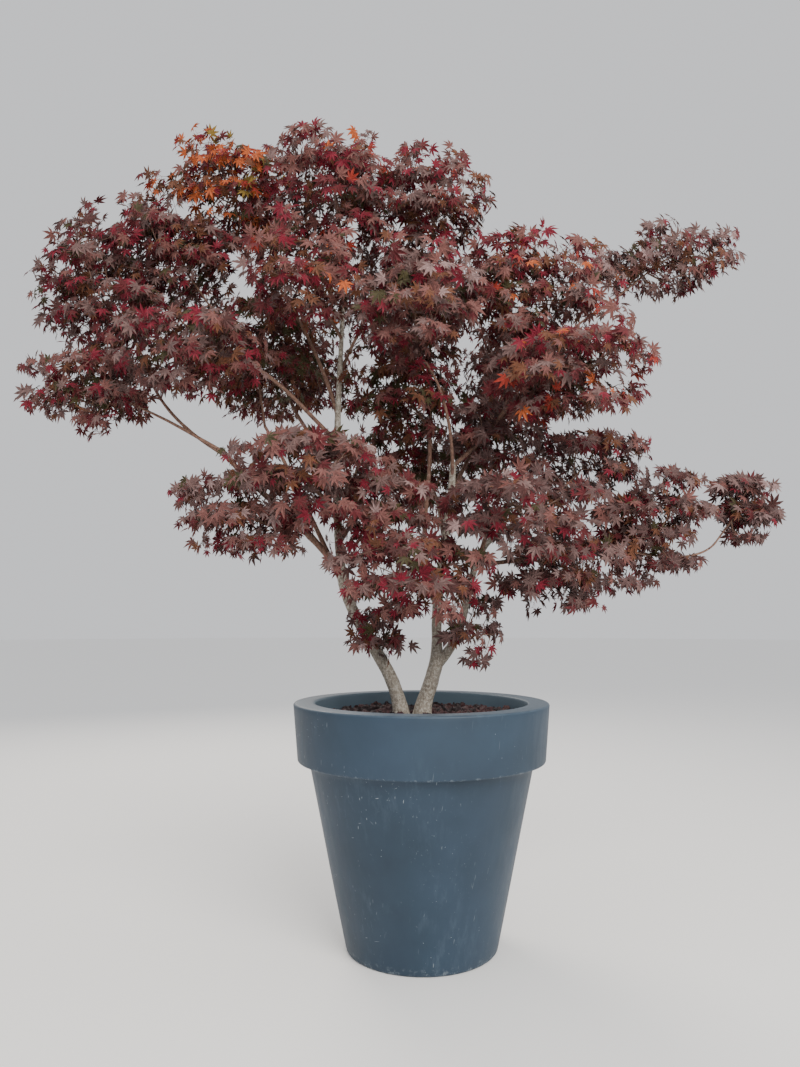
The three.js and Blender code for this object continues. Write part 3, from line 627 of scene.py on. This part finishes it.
def stem_points(mass):
    """The stem of a mass runs from its limb to its heart, bending up a little on the way."""
    start = limb_point(mass["limb"], mass["share"])
    set_out = limb_tangent(mass["limb"], mass["share"]) if mass["share"] == 1 else UP
    span = mass["heart"] - start
    bend = start + 0.5 * span + set_out * STEM_BEND * np.linalg.norm(span)
    t = np.array(STEM_SHARES, float)[:, None]
    return (1 - t) ** 2 * start + 2 * (1 - t) * t * bend + t ** 2 * mass["heart"]


def in_tier(mass, place):
    """A place moved up or down towards the nearest tier."""
    offset = place - mass["heart"]
    fall, rise = TIER_LEANS.get(mass["name"], (TIER_FALL, 0))
    height = offset[2] + fall * math.hypot(*offset[:2]) - rise * offset[0]
    tier = round(height / TIER_STEP) * TIER_STEP
    return place + UP * TIER_HOLD * (tier - height)


def in_clump(mass, place):
    """Whether a fine twig may end here: in a clump, and not past the ragged edge of its mass."""
    spot = Vector(place / CLUMP_SIZE * (1, 1, CLUMP_FLATNESS))
    if noise.noise(spot) < CLUMP_LEVEL:
        return False
    if mass["reach"][0] < SMALL_REACH:
        return True
    offset = (place - mass["heart"]) / mass["reach"]
    depth = np.linalg.norm(offset)
    bearing = Vector(offset / depth / RAGGED_SIZE) + Vector(mass["heart"])
    return depth < RAGGED_REACH + RAGGED_DEPTH * noise.noise(bearing)


def twig_places(mass, count, tries, inset, inset_up, draw, taken, tiered=False):
    """Places for twig tips: each one is the candidate furthest from those before it."""
    rx, ry, rz = mass["reach"]
    places = []
    for _ in range(count):
        best = None
        widest = -1
        for _ in range(tries):
            turn = 2 * math.pi * draw()
            lift = 2 * draw() - 1
            out = INNERMOST + (1 - INNERMOST) * math.sqrt(draw())
            flat = math.sqrt(1 - lift * lift)
            place = mass["heart"] + np.array([
                (rx - inset) * out * flat * math.cos(turn),
                (ry - inset) * out * flat * math.sin(turn),
                (rz - inset_up) * out * lift,
            ])
            if tiered:
                place = in_tier(mass, place)
                if not in_clump(mass, place):
                    continue
            if not in_space(mass, place, FINE_MARGIN if tiered else PLACE_MARGIN):
                continue
            nearest = FAR_APART
            if taken:
                gaps = np.array(taken) - place
                nearest = min(nearest, math.sqrt((gaps * gaps).sum(axis=1).min()))
            if nearest > widest:
                widest = nearest
                best = place
        if best is not None:
            places.append(best)
            taken.append(best)
    return sorted(places, key=lambda p: np.linalg.norm(p - mass["heart"]))


def clear_of_limbs(start, end):
    """Whether a straight twig keeps clear of the limbs."""
    steps = np.linspace(*CHECKED_STEPS)[:, None]
    points = start + (end - start) * steps
    gaps = np.linalg.norm(points[:, None, :] - limb_beads[None, :, :], axis=2)
    return (gaps > bead_radii[None, :] + LIMB_AIR).all()


def fork_cost(node, place):
    """A twig springs from a node that is near, on a short path and with few twigs of its own."""
    distance = np.linalg.norm(node["at"] - place)
    return distance + PATH_COST * node["path"] + SIBLING_COST * node["children"]


def grow(mass, seed):
    """The stem of a mass and its twigs: each has a start, a fork, a tip and a node with what it carries."""
    draw = seeded_random(seed)
    stem = stem_points(mass)
    nodes = []
    for share in STEM_FORKS:
        along = share * (len(stem) - 1)
        piece = min(int(along), len(stem) - 2)
        at = stem[piece] + (stem[piece + 1] - stem[piece]) * (along - piece)
        nodes.append(dict(at=at, parent=None, path=STEM_PATH * share, children=0, load=0))
    rx, ry, rz = mass["reach"]
    volume = 4 / 3 * math.pi * rx * ry * rz * CUBIC_MM
    leaf = min(LEAF_LENGTH, LEAF_SHARE_OF_REACH * min(rx, ry))
    taken = []
    coarse = round(FEWEST_LEAVES + LEAVES_IN_A_CUBIC_METRE * volume)
    places = twig_places(
        mass, coarse, PLACE_TRIES, PLACE_INSET * leaf, PLACE_INSET_UP * leaf, draw, taken)
    fine = round(FULLNESS.get(mass["name"], 1) * (FINE_TWIGS + FINE_TWIGS_IN_A_CUBIC_METRE * volume))
    places += twig_places(mass, fine, FINE_TRIES, FINE_INSET, FINE_INSET, draw, taken, tiered=True)
    twigs = []
    for place in places:
        for node in sorted(nodes, key=lambda n: fork_cost(n, place))[:FORK_CHOICES]:
            if not in_space(mass, node["at"], FORK_MARGIN) or not clear_of_limbs(node["at"], place):
                continue
            path = node["path"] + np.linalg.norm(node["at"] - place)
            fork = node["at"] + (place - node["at"]) * FORK_SHARE
            child = dict(at=fork, parent=node, path=path, children=0, load=1)
            nodes.append(child)
            node["children"] += 1
            twigs.append(dict(start=node["at"], fork=fork, tip=place, node=child))
            up = node
            while up:
                up["load"] += 1
                up = up["parent"]
            break
    return stem, twigs


def twig_line(twig):
    """A twig is straight to its fork and then bends over a little to its tip, in metres."""
    fork = twig["fork"]
    tip = twig["tip"]
    arch = UP * TWIG_ARCH * np.linalg.norm(tip - fork)
    middle = 0.5 * (fork + tip) + arch
    return np.array([twig["start"], fork, middle, tip]) * MM


def twig_radius(carried, limit):
    """The radius of a twig by what it carries, in metres, up to a limit in mm."""
    return min(TWIG_RADIUS * carried ** (1 / PIPE_POWER), limit) * MM


# Leaves

def leaf_form(rng):
    """One leaf with seven pointed lobes round the end of its stalk, its middle lobe along +X."""
    droop = rng.uniform(*DROOPS)
    fold = rng.uniform(*FOLDS)
    twist = rng.uniform(*TWISTS)
    corners = [(0.0, 0.0, 0.0)]
    triangles = []

    def corner(angle, length, lift=0):
        x = length * math.cos(math.radians(angle))
        y = length * math.sin(math.radians(angle))
        corners.append((x, y, lift - droop * length ** 2 + twist * y * length))
        return len(corners) - 1

    spread = math.degrees(LOBE_HALF_WIDTH / LOBE_WAIST)
    notch = corner(-HEEL_ANGLE, HEEL_LENGTH)
    for i, (angle, length) in enumerate(zip(LOBE_ANGLES, LOBE_LENGTHS)):
        angle += rng.uniform(-LOBE_WANDER, LOBE_WANDER)
        length *= rng.uniform(*LOBE_STRETCH)
        right = corner(angle - spread, LOBE_WAIST * length, fold * length)
        tip = corner(angle, length)
        left = corner(angle + spread, LOBE_WAIST * length, fold * length)
        if i + 1 < len(LOBE_ANGLES):
            following = LOBE_ANGLES[i + 1]
            depth = NOTCH_DEPTH * min(length, LOBE_LENGTHS[i + 1])
            after = corner((angle + following) / 2, depth)
        else:
            after = corner(HEEL_ANGLE, HEEL_LENGTH)
        triangles += [(0, notch, right), (0, right, tip), (0, tip, left), (0, left, after)]
        notch = after
    return np.array(corners), np.array(triangles)


def picker(mix):
    """The names of a mix and the share of each."""
    weights = np.array(list(mix.values()), float)
    return list(mix), np.cumsum(weights / weights.sum())


def pick(choice, rng):
    names, edges = choice
    return names[min(int(np.searchsorted(edges, rng.random())), len(names) - 1)]


def blade(stalk, outward, rng):
    """Which way a leaf points and which way its upper face looks."""
    normal = unit(rng.uniform(*BLADE_LIFT) * UP + outward + BLADE_SCATTER * rng.normal(size=3))
    axis = stalk + BLADE_OUT * outward - BLADE_HANG * UP + BLADE_SCATTER * rng.normal(size=3)
    axis = unit(axis - normal * axis.dot(normal))
    return axis, normal


def spray(twig, mass, rng, forms, shapes, stalks):
    """Opposite pairs of leaves along the last of a twig, each in the shape of its colour."""
    line = twig_line(twig)
    tip = line[-1]
    shoot = tip - line[1]
    length = np.linalg.norm(shoot)
    along = shoot / length
    flat = np.cross(along, UP)
    flat = unit(flat) if np.linalg.norm(flat) > NEARLY_UPRIGHT else np.array([1.0, 0.0, 0.0])
    rise = np.cross(flat, along)
    light = LIGHT_SIDE * LIGHT_PULLS.get(mass["name"], 1)
    outward = unit(unit(np.append(tip[:2] / MM - mass["middle"], 0)) + light)
    # Leaves deep in the mass may take the darker colours of painted shade.
    depth = np.linalg.norm((tip / MM - mass["heart"]) / mass["reach"])
    inner = depth < SHADE_DEPTH
    own = pick(mass["choice"], rng)
    pairs = min(MOST_PAIRS, 1 + int(length / PAIR_SPACING))
    turn = rng.uniform(-SPRAY_TURN, SPRAY_TURN)
    back = 0.0
    pull_along, pull_away, pull_up = STALK_PULLS
    for k in range(pairs):
        at = tip - along * back
        back += PAIR_SPACING * rng.uniform(*PAIR_JITTER)
        for side in (0, 1):
            around = turn + math.pi * side + 0.5 * math.pi * (k % 2) + rng.uniform(-PAIR_TURN, PAIR_TURN)
            away = flat * math.cos(around) + rise * math.sin(around)
            stalk = unit(pull_along * along + pull_away * away + pull_up * UP)
            foot = at + stalk * rng.uniform(*STALK_LENGTHS)
            axis, normal = blade(stalk, outward, rng)
            size = LEAF_RADIUS * math.exp(rng.normal(0, LEAF_SPREAD))
            if not in_space(mass, (foot + axis * 0.5 * size) / MM, -LEAF_OVERHANG, -LEAF_MINGLING):
                continue
            point = foot + axis * size
            if (point <= LEAF_BOX[0]).any() or (point >= LEAF_BOX[1]).any():
                continue
            colour = own if rng.random() < OWN_COLOUR_SHARE else pick(mass["choice"], rng)
            # Hanging leaves take redder colours, partly as painted light shining through them.
            if away[2] < UNDER_SLOPE and rng.random() < UNDER_SHARE:
                colour = pick(UNDER_LIT_THROUGH_CHOICE, rng)
                size *= UNDER_SIZE
            elif inner and rng.random() < SHADED_INNER_SHARE:
                colour = pick(SHADED_INNER_CHOICE, rng)
            corners, triangles = forms[rng.integers(LEAF_KINDS)]
            turned = size * np.stack([axis, np.cross(normal, axis), normal])
            shapes[colour].add(foot + corners @ turned, triangles)
            add_stalk(stalks, at, foot)


def add_stalk(shape, start, end):
    """A stalk is a slim pyramid from its twig to the foot of its leaf."""
    along = end - start
    side = unit(np.cross(along, UP + 0.01))
    third = unit(np.cross(along, side))
    feet = [start + STALK_RADIUS * (math.cos(turn) * side + math.sin(turn) * third)
            for turn in (0, 2 * math.pi / 3, 4 * math.pi / 3)]
    shape.add([*feet, end], ((0, 1, 3), (1, 2, 3), (2, 0, 3), (0, 2, 1)))


# Materials

def put(socket, value):
    """Set a socket to a number or a colour, or link another node's output to it."""
    if isinstance(value, bpy.types.NodeSocket):
        socket.id_data.links.new(value, socket)
    elif socket.type == "RGBA":
        socket.default_value = (*value, 1)
    else:
        socket.default_value = value


def add_node(tree, kind, output, values, **settings):
    """One output of a new node, with the node's settings made and its inputs filled."""
    node = tree.nodes.new(f"ShaderNode{kind}")
    for name, setting in settings.items():
        setattr(node, name, setting)
    for socket, value in values.items():
        put(node.inputs[socket], value)
    return node.outputs[output]


def blank(name, roughness):
    material = bpy.data.materials.new(name)
    material.use_nodes = True
    shader = material.node_tree.nodes["Principled BSDF"]
    put(shader.inputs["Roughness"], roughness)
    put(shader.inputs["Metallic"], 0)
    return material, shader


def place_in(material):
    """The coordinates of a piece's own space."""
    return add_node(material.node_tree, "TexCoord", "Object", {})


def stretched(where, scale, turn=0, vector_type="POINT"):
    """Coordinates turned, mostly about the Y axis, and stretched."""
    values = {"Vector": where, "Rotation": (0.4 * turn, turn, 0), "Scale": scale}
    return add_node(where.id_data, "Mapping", "Vector", values, vector_type=vector_type)


def noise_value(where, scale, detail=4, roughness=0.55):
    values = {"Vector": where, "Scale": scale, "Detail": detail, "Roughness": roughness}
    return add_node(where.id_data, "TexNoise", "Fac", values)


def ramp(value, stops):
    """A colour that changes with a value from stop to stop."""
    colour = add_node(value.id_data, "ValToRGB", "Color", {"Fac": value})
    elements = colour.node.color_ramp.elements
    while len(elements) < len(stops):
        elements.new(0.5)
    for element, (position, shade) in zip(elements, stops):
        element.position = position
        element.color = (*shade, 1)
    return colour


def fade(value, low, high, last=1, first=0):
    """A level that changes with a value, from the first to the last."""
    return ramp(value, [(low, [first] * 3), (high, [last] * 3)])


def mottled(value, colour, darker, lighter):
    """A colour that is darker where a value is low and lighter where it is high."""
    return ramp(value, [(0.3, [darker * c for c in colour]), (0.7, [lighter * c for c in colour])])


def maths(operation, first, second):
    return add_node(first.id_data, "Math", 0, {0: first, 1: second}, operation=operation)


def times(first, second):
    return maths("MULTIPLY", first, second)


def mix_colour(factor, first, second):
    node = factor.id_data.nodes.new("ShaderNodeMix")
    node.data_type = "RGBA"
    colours = [socket for socket in node.inputs if socket.type == "RGBA"]
    for socket, value in zip((node.inputs["Factor"], *colours), (factor, first, second)):
        put(socket, value)
    return [socket for socket in node.outputs if socket.type == "RGBA"][0]


def bump(shader, height, strength, distance):
    values = {"Height": height, "Strength": strength, "Distance": distance}
    put(shader.inputs["Normal"], add_node(height.id_data, "Bump", "Normal", values))


def leaf_material(name, colour):
    """A thin matte leaf with a fine mottle."""
    material, shader = blank(name, 0.62)
    put(shader.inputs["Sheen Weight"], 0.08)
    put(shader.inputs["Specular IOR Level"], 0.25)
    where = place_in(material)
    mottle = noise_value(where, 90, detail=2)
    put(shader.inputs["Base Color"], mottled(mottle, colour, 0.72, 1.22))
    bump(shader, noise_value(where, 260, detail=2), 0.25, 0.001)
    return material


def bark_material(name, shades, patch_share):
    """Smooth bark, mottled with small pale patches and dark flecks."""
    dark, middle, pale = (srgb(shade) for shade in shades)
    material, shader = blank(name, 0.8)
    where = place_in(material)
    along = stretched(where, (1, 1, 0.45))
    streaks = noise_value(along, 75, detail=6, roughness=0.65)
    patches = noise_value(where, 84, detail=8, roughness=0.72)
    flecks = noise_value(along, 140, roughness=0.75)
    ground = ramp(streaks, [(0.32, dark), (0.5, middle), (0.7, [1.12 * c for c in middle])])
    cover = fade(patches, 0.57 - patch_share, 0.65 - patch_share, 0.9)
    dots = fade(flecks, 0.53, 0.62, 0.7)
    put(shader.inputs["Base Color"], mix_colour(dots, mix_colour(cover, ground, pale), dark))
    height = maths("SUBTRACT", times(streaks, 0.6), times(dots, 0.5))
    bump(shader, height, 0.6, 0.003)
    return material


def span_mask(value, zero, one):
    """0 up to one value, and 1 from another on."""
    values = {"Value": value, "From Min": zero, "From Max": one}
    return add_node(value.id_data, "MapRange", "Result", values)


def axis_mask(where, axis, zero, one):
    """0 up to one place along an axis, and 1 from another on."""
    return span_mask(add_node(where.id_data, "SeparateXYZ", axis, {"Vector": where}), zero, one)


def inside_mask(where, radius, height):
    """1 within a radius of the upright axis and above a height."""
    flat = stretched(where, (1, 1, 0))
    away = add_node(where.id_data, "VectorMath", "Value", {0: flat}, operation="LENGTH")
    return times(span_mask(away, radius + 0.003, radius), axis_mask(where, "Z", height, height + 0.01))


def scratches(where, places, turn, length, fineness, share):
    """Short thin lines in one direction, in some places only."""
    along = stretched(where, (1, 1, length), turn, "TEXTURE")
    line = noise_value(along, fineness, detail=1, roughness=0.4)
    return times(fade(line, 1 - share, 1.03 - share), places)


def pot_material():
    """Slate-blue moulded plastic with fine pale scratches, specks and scuffs, a lip that is paler with wear
    and a painted highlight, and painted light on the inner wall.
    """
    material, shader = blank("pot_plastic", 0.5)
    put(shader.inputs["Specular IOR Level"], 0.27)
    where = place_in(material)
    dark, blue, pale, chalk, inner = (srgb(shade) for shade in POT_SHADES)
    colour = ramp(noise_value(where, 2.1, detail=5), [(0.3, dark), (0.7, blue)])
    streaks = noise_value(stretched(where, (1, 1, 0.2)), 26, detail=8, roughness=0.75)
    worn = fade(noise_value(where, 2.6, roughness=0.6), 0.44, 0.64)
    worn = times(worn, maths("ADD", axis_mask(where, "X", 0.3, -0.45), 0.35))
    low = maths("ADD", times(axis_mask(where, "Z", 0.5, 0.0), 0.6), 0.35)
    haze = times(times(fade(streaks, 0.5, 0.8, 0.7), worn), low)
    colour = mix_colour(haze, colour, pale)
    upright, slanted, level = (scratches(where, worn, *row) for row in SCRATCHES)
    marks = maths("MAXIMUM", maths("MAXIMUM", upright, slanted), level)
    colour = mix_colour(times(marks, 0.7), colour, chalk)
    dots = add_node(where.id_data, "TexVoronoi", "Distance", {"Vector": where, "Scale": 34})
    picked = add_node(where.id_data, "SeparateColor", "Red", {"Color": dots.node.outputs["Color"]})
    specks = times(maths("LESS_THAN", dots, 0.06), maths("GREATER_THAN", picked, 0.82))
    colour = mix_colour(times(specks, 0.55), colour, chalk)
    chips = fade(noise_value(where, 38, detail=7, roughness=0.8), 0.53, 0.62)
    band_foot = (POT_HEIGHT - BAND_HEIGHT) * MM
    at_foot = times(
        axis_mask(where, "Z", band_foot + 0.012, band_foot + 0.002),
        axis_mask(where, "Z", band_foot - 0.004, band_foot))
    edges = times(maths("MAXIMUM", at_foot, axis_mask(where, "Z", 0.04, 0.008)), chips)
    colour = mix_colour(times(edges, 0.45), colour, chalk)
    # The rounded top of the lip is paler: partly wear, partly a painted highlight.
    lip_wear_and_highlight = axis_mask(where, "Z", (POT_HEIGHT - LIP_ROUND) * MM, POT_HEIGHT * MM)
    colour = mix_colour(times(lip_wear_and_highlight, fade(streaks, 0.35, 0.7, 0.5, 0.15)), colour, pale)
    # The inner wall is lightened: painted light that falls into the pot.
    colour = mix_colour(times(inside_mask(where, 0.503, 0.9), 0.85), colour, inner)
    put(shader.inputs["Base Color"], colour)
    put(shader.inputs["Roughness"], fade(streaks, 0.3, 0.8, 0.6, 0.42))
    grain = times(noise_value(where, 420, detail=2), 0.12)
    height = maths("ADD", maths("ADD", grain, times(marks, 0.2)), noise_value(where, 5, detail=2))
    bump(shader, height, 0.25, 0.004)
    return material


def lump_material(name, colour):
    material, shader = blank(name, 0.88)
    pores = noise_value(place_in(material), 150, detail=5, roughness=0.7)
    put(shader.inputs["Base Color"], mottled(pores, colour, 0.5, 1.5))
    bump(shader, pores, 0.7, 0.004)
    return material


# The pot

def pot_outer(z):
    return BASE_RADIUS + (BODY_TOP_RADIUS - BASE_RADIUS) * z / (POT_HEIGHT - BAND_HEIGHT)


def rounded(centre, radius, first, last):
    """Points on an arc between two directions, in degrees."""
    turns = np.radians(np.linspace(first, last, ROUND_STEPS))
    return [(centre[0] + radius * math.cos(t), centre[1] + radius * math.sin(t)) for t in turns]


def straight(first, last, steps):
    """The points between two ends, without the ends."""
    return np.linspace(first, last, steps + 2)[1:-1]


def pot_profile():
    band_foot = POT_HEIGHT - BAND_HEIGHT
    opening = RIM_RADIUS - LIP_WIDTH
    inner_turn = band_foot - INNER_TURN
    base = rounded((BASE_RADIUS - BASE_ROUND + 3, BASE_ROUND), BASE_ROUND, -90, -12)
    turned_in = (BAND_FOOT_RADIUS - BAND_FOOT_ROUND, band_foot + BAND_FOOT_ROUND)
    foot = rounded(turned_in, BAND_FOOT_ROUND, -90, 4)
    lip = rounded((RIM_RADIUS - LIP_ROUND, POT_HEIGHT - LIP_ROUND), LIP_ROUND, 4, 90)
    mouth = rounded((opening + LIP_ROUND, POT_HEIGHT - LIP_ROUND), LIP_ROUND, 90, 180)
    shoulder = (BODY_TOP_RADIUS, band_foot - 3)
    throat = (BODY_TOP_RADIUS + 5, band_foot)
    inner_foot = (pot_outer(POT_WALL) - POT_WALL, POT_WALL)
    inner = (pot_outer(inner_turn) - POT_WALL, inner_turn)
    return [
        (0, 0), *base, *straight(base[-1], shoulder, 24), shoulder, throat,
        *foot, *straight(foot[-1], lip[0], 10), *lip, *straight(lip[-1], mouth[0], 3), *mouth,
        *straight(mouth[-1], inner, 8), inner, inner_foot, (0, POT_WALL),
    ]


def build_pot():
    """The pot is turned from its profile, and wavers a little as moulded plastic does."""
    profile = pot_profile()
    shape = Shape()
    corners = []
    for r, z in profile:
        for k in range(POT_SIDES):
            turn = 2 * math.pi * k / POT_SIDES
            waver = sum(size * math.sin(count * turn + shift + climb * z)
                        for size, count, shift, climb in POT_WAVES)
            reach = (r + waver if r else 0) * MM
            corners.append((reach * math.cos(turn), reach * math.sin(turn), z * MM))
    shape.add(corners, tube_triangles(len(profile), POT_SIDES))
    pot = shape.mesh("pot_shell", True)
    mesh = bmesh.new()
    mesh.from_mesh(pot.data)
    bmesh.ops.remove_doubles(mesh, verts=mesh.verts, dist=1e-5)
    bmesh.ops.recalc_face_normals(mesh, faces=mesh.faces)
    mesh.to_mesh(pot.data)
    mesh.free()
    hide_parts("pot")
    dress(pot, pot_material())


def build_mulch():
    rng = np.random.default_rng(MULCH_SEED)
    ball = bmesh.new()
    bmesh.ops.create_icosphere(ball, subdivisions=2, radius=1)
    corners = np.array([v.co for v in ball.verts])
    triangles = np.array([[v.index for v in f.verts] for f in ball.faces])
    ball.free()
    shapes = {tint: Shape() for tint in LUMP_TINTS}
    chances = [share for _, share in LUMP_TINTS.values()]
    for _ in range(MULCH_LUMPS):
        size = rng.uniform(*LUMP_SIZES)
        reach = (MULCH_RADIUS - size) * math.sqrt(rng.random())
        turn = rng.uniform(0, 2 * math.pi)
        heap = MULCH_DEPTH + MULCH_HEAP * (1 - (reach / MULCH_RADIUS) ** 2)
        heap *= rng.uniform(*LUMP_DEPTHS)
        middle = np.array([reach * math.cos(turn), reach * math.sin(turn), SOIL_TOP * MM + heap])
        axes = np.linalg.qr(rng.normal(size=(3, 3)))[0]
        stretch = size * rng.uniform(*LUMP_STRETCH)
        lump = corners * (1 + LUMP_DENTS * rng.normal(size=(len(corners), 1)).clip(-1.5, 1.5))
        tint = rng.choice(list(LUMP_TINTS), p=chances)
        shapes[tint].add((lump * stretch) @ axes + middle, triangles)
    for tint, shape in shapes.items():
        piece = shape.mesh(f"mulch_{tint}", False)
        dress(piece, lump_material(f"mulch_{tint}", srgb(LUMP_TINTS[tint][0])))


# The plant

def build_limbs():
    shapes = {kind: Shape() for kind in BARKS}
    replaced = {kind: [] for kind in BARKS}
    for i, (name, limb) in enumerate(LIMBS.items()):
        kind = "bark_pale" if is_thick(name) else "bark_young"
        if name in FEET or limb.share < 1:
            add_limb(shapes[kind], name, BARK_SHIFT * i)
        replaced[kind].append(name)
    barks = {}
    for kind, (slot, shades, patch_share) in BARKS.items():
        piece = shapes[kind].mesh(kind, True)
        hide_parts(*replaced[kind])
        barks[kind] = bark_material(slot, shades, patch_share)
        dress(piece, barks[kind])
    return barks["bark_young"]


def build_foliage(twig_material):
    masses = []
    for name, (limb, share, centre, reach, mix) in MASSES.items():
        heart = np.array(centre, float)
        masses.append(dict(
            name=name, limb=limb, share=share, heart=heart, reach=np.array(reach, float),
            choice=picker(MIXES[mix]), middle=heart[:2] + CROWN_PULL * (CROWN_AXIS - heart[:2])))
    for mass in masses:
        mass["walls"] = cell_walls(mass, masses)
    rng = np.random.default_rng(LEAF_SEED)
    forms = [leaf_form(rng) for _ in range(LEAF_KINDS)]
    shapes = {colour: Shape() for shades in COLOURS.values() for colour in shades}
    twigs = Shape()
    stalks = Shape()
    for i, mass in enumerate(masses):
        stem, grown = grow(mass, i + 1)
        tip = limb_radius(mass["limb"], mass["share"])
        t = np.linspace(0, 1, MASS_STEM_STEPS)
        coarse = np.linspace(0, 1, len(stem))
        line = MM * np.stack([np.interp(t, coarse, stem[:, a]) for a in range(3)], axis=1)
        knee = twig_radius(KNEE_LOAD * len(grown), tip)
        radii = np.interp(t, (0, STEM_KNEE, 1), (STEM_FILL * tip * MM, knee, twig_radius(TIP_LOAD, tip)))
        add_tube(twigs, rings(line, radii, MASS_STEM_SIDES), line[-1])
        for twig in grown:
            carried = twig["node"]["load"]
            thick = twig_radius(carried, tip)
            radii = [thick, thick, *(share * TWIG_RADIUS * MM for share in TWIG_TAPER)]
            line = twig_line(twig)
            add_tube(twigs, rings(line, radii, 4 if carried > STOUT_TWIG else 3), line[-1])
            spray(twig, mass, rng, forms, shapes, stalks)
    dress(twigs.mesh("twigs", True), twig_material)
    piece = stalks.mesh("leaf_stalks", False)
    dress(piece, leaf_material("leaf_stalk", srgb(STALK_SHADE)))
    # The masses that have each slot are hidden when the first piece of that slot is made.
    for slot, shades in COLOURS.items():
        nodes = [part["node"] for part in frame["record"]["subparts"]
                 if part["node"].startswith("foliage_") and part["material_slot"] == slot]
        for colour, shade in shades.items():
            piece = shapes[colour].mesh(f"leaves_{colour}", False)
            if nodes:
                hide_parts(*nodes)
                nodes = []
            dress(piece, leaf_material(f"leaf_{colour}", srgb(shade)))


# The scene

FLOOR_RADIUS = 60
FLOOR_COLOUR = (0.93, 0.925, 0.91)
SKY_COLOUR = (0.96, 0.97, 1.0)
SKY_STRENGTH = 0.85
# Each lamp has its place, the point that it is aimed at, its size, its power and its colour.
LAMPS = {
    "key": ((2.8, -6.2, 5.2), (0, 0, 1.9), 5.0, 760, (1.0, 0.96, 0.9)),
    "back": ((-3.0, 6.0, 6.5), (0, 0, 2.6), 4.0, 420, (1.0, 0.92, 0.82)),
}
# The camera stands at eye height, a few steps in front of the pot, and is tilted up, in degrees.
CAMERA_PLACE = (-0.0996, -3.854, 1.488)
CAMERA_TILT = 6.08
SENSOR_WIDTH = 36
FOCAL_LENGTH = 27


def build_stage():
    bpy.ops.mesh.primitive_circle_add(vertices=64, radius=FLOOR_RADIUS, fill_type="NGON")
    floor = bpy.context.object
    floor.name = "floor"
    material, shader = blank("floor", 0.9)
    put(shader.inputs["Base Color"], FLOOR_COLOUR)
    floor.data.materials.append(material)
    world = bpy.data.worlds.new("world")
    bpy.context.scene.world = world
    world.use_nodes = True
    background = world.node_tree.nodes["Background"]
    put(background.inputs["Color"], SKY_COLOUR)
    put(background.inputs["Strength"], SKY_STRENGTH)
    for name, (at, aim, size, power, colour) in LAMPS.items():
        light = bpy.data.lights.new(name, "AREA")
        light.size = size
        light.energy = power
        light.color = colour
        lamp = bpy.data.objects.new(name, light)
        lamp.location = at
        lamp.rotation_euler = (Vector(aim) - Vector(at)).to_track_quat("-Z", "Y").to_euler()
        bpy.context.collection.objects.link(lamp)


def build_camera():
    data = bpy.data.cameras.new("camera")
    data.sensor_width = SENSOR_WIDTH
    data.lens = FOCAL_LENGTH
    camera = bpy.data.objects.new("camera", data)
    camera.location = CAMERA_PLACE
    camera.rotation_euler = (math.radians(90 + CAMERA_TILT), 0, 0)
    bpy.context.collection.objects.link(camera)
    bpy.context.scene.camera = camera


UNDER_LIT_THROUGH_CHOICE = picker(UNDER_LIT_THROUGH_MIX)
SHADED_INNER_CHOICE = picker(SHADED_INNER_MIX)
box_corners = np.array([list(corner) for corner in cad_box])
proud = LEAF_PROUD_SHARE * (box_corners[1] - box_corners[0])
LEAF_BOX = (box_corners[0] - proud, box_corners[1] + proud)
bead_shares = np.linspace(*BEADS)
limb_beads = np.concatenate([bezier(limb_control(name), bead_shares) for name in LIMBS])
bead_radii = np.array([limb_radius(name, share) for name in LIMBS for share in bead_shares])

build_pot()
build_mulch()
soil = frame["nodes"]["soil"]
soil.data.materials.clear()
soil.data.materials.append(lump_material("soil_ground", srgb("2e1f1b")))
young_bark = build_limbs()
build_foliage(young_bark)
build_stage()
build_camera()
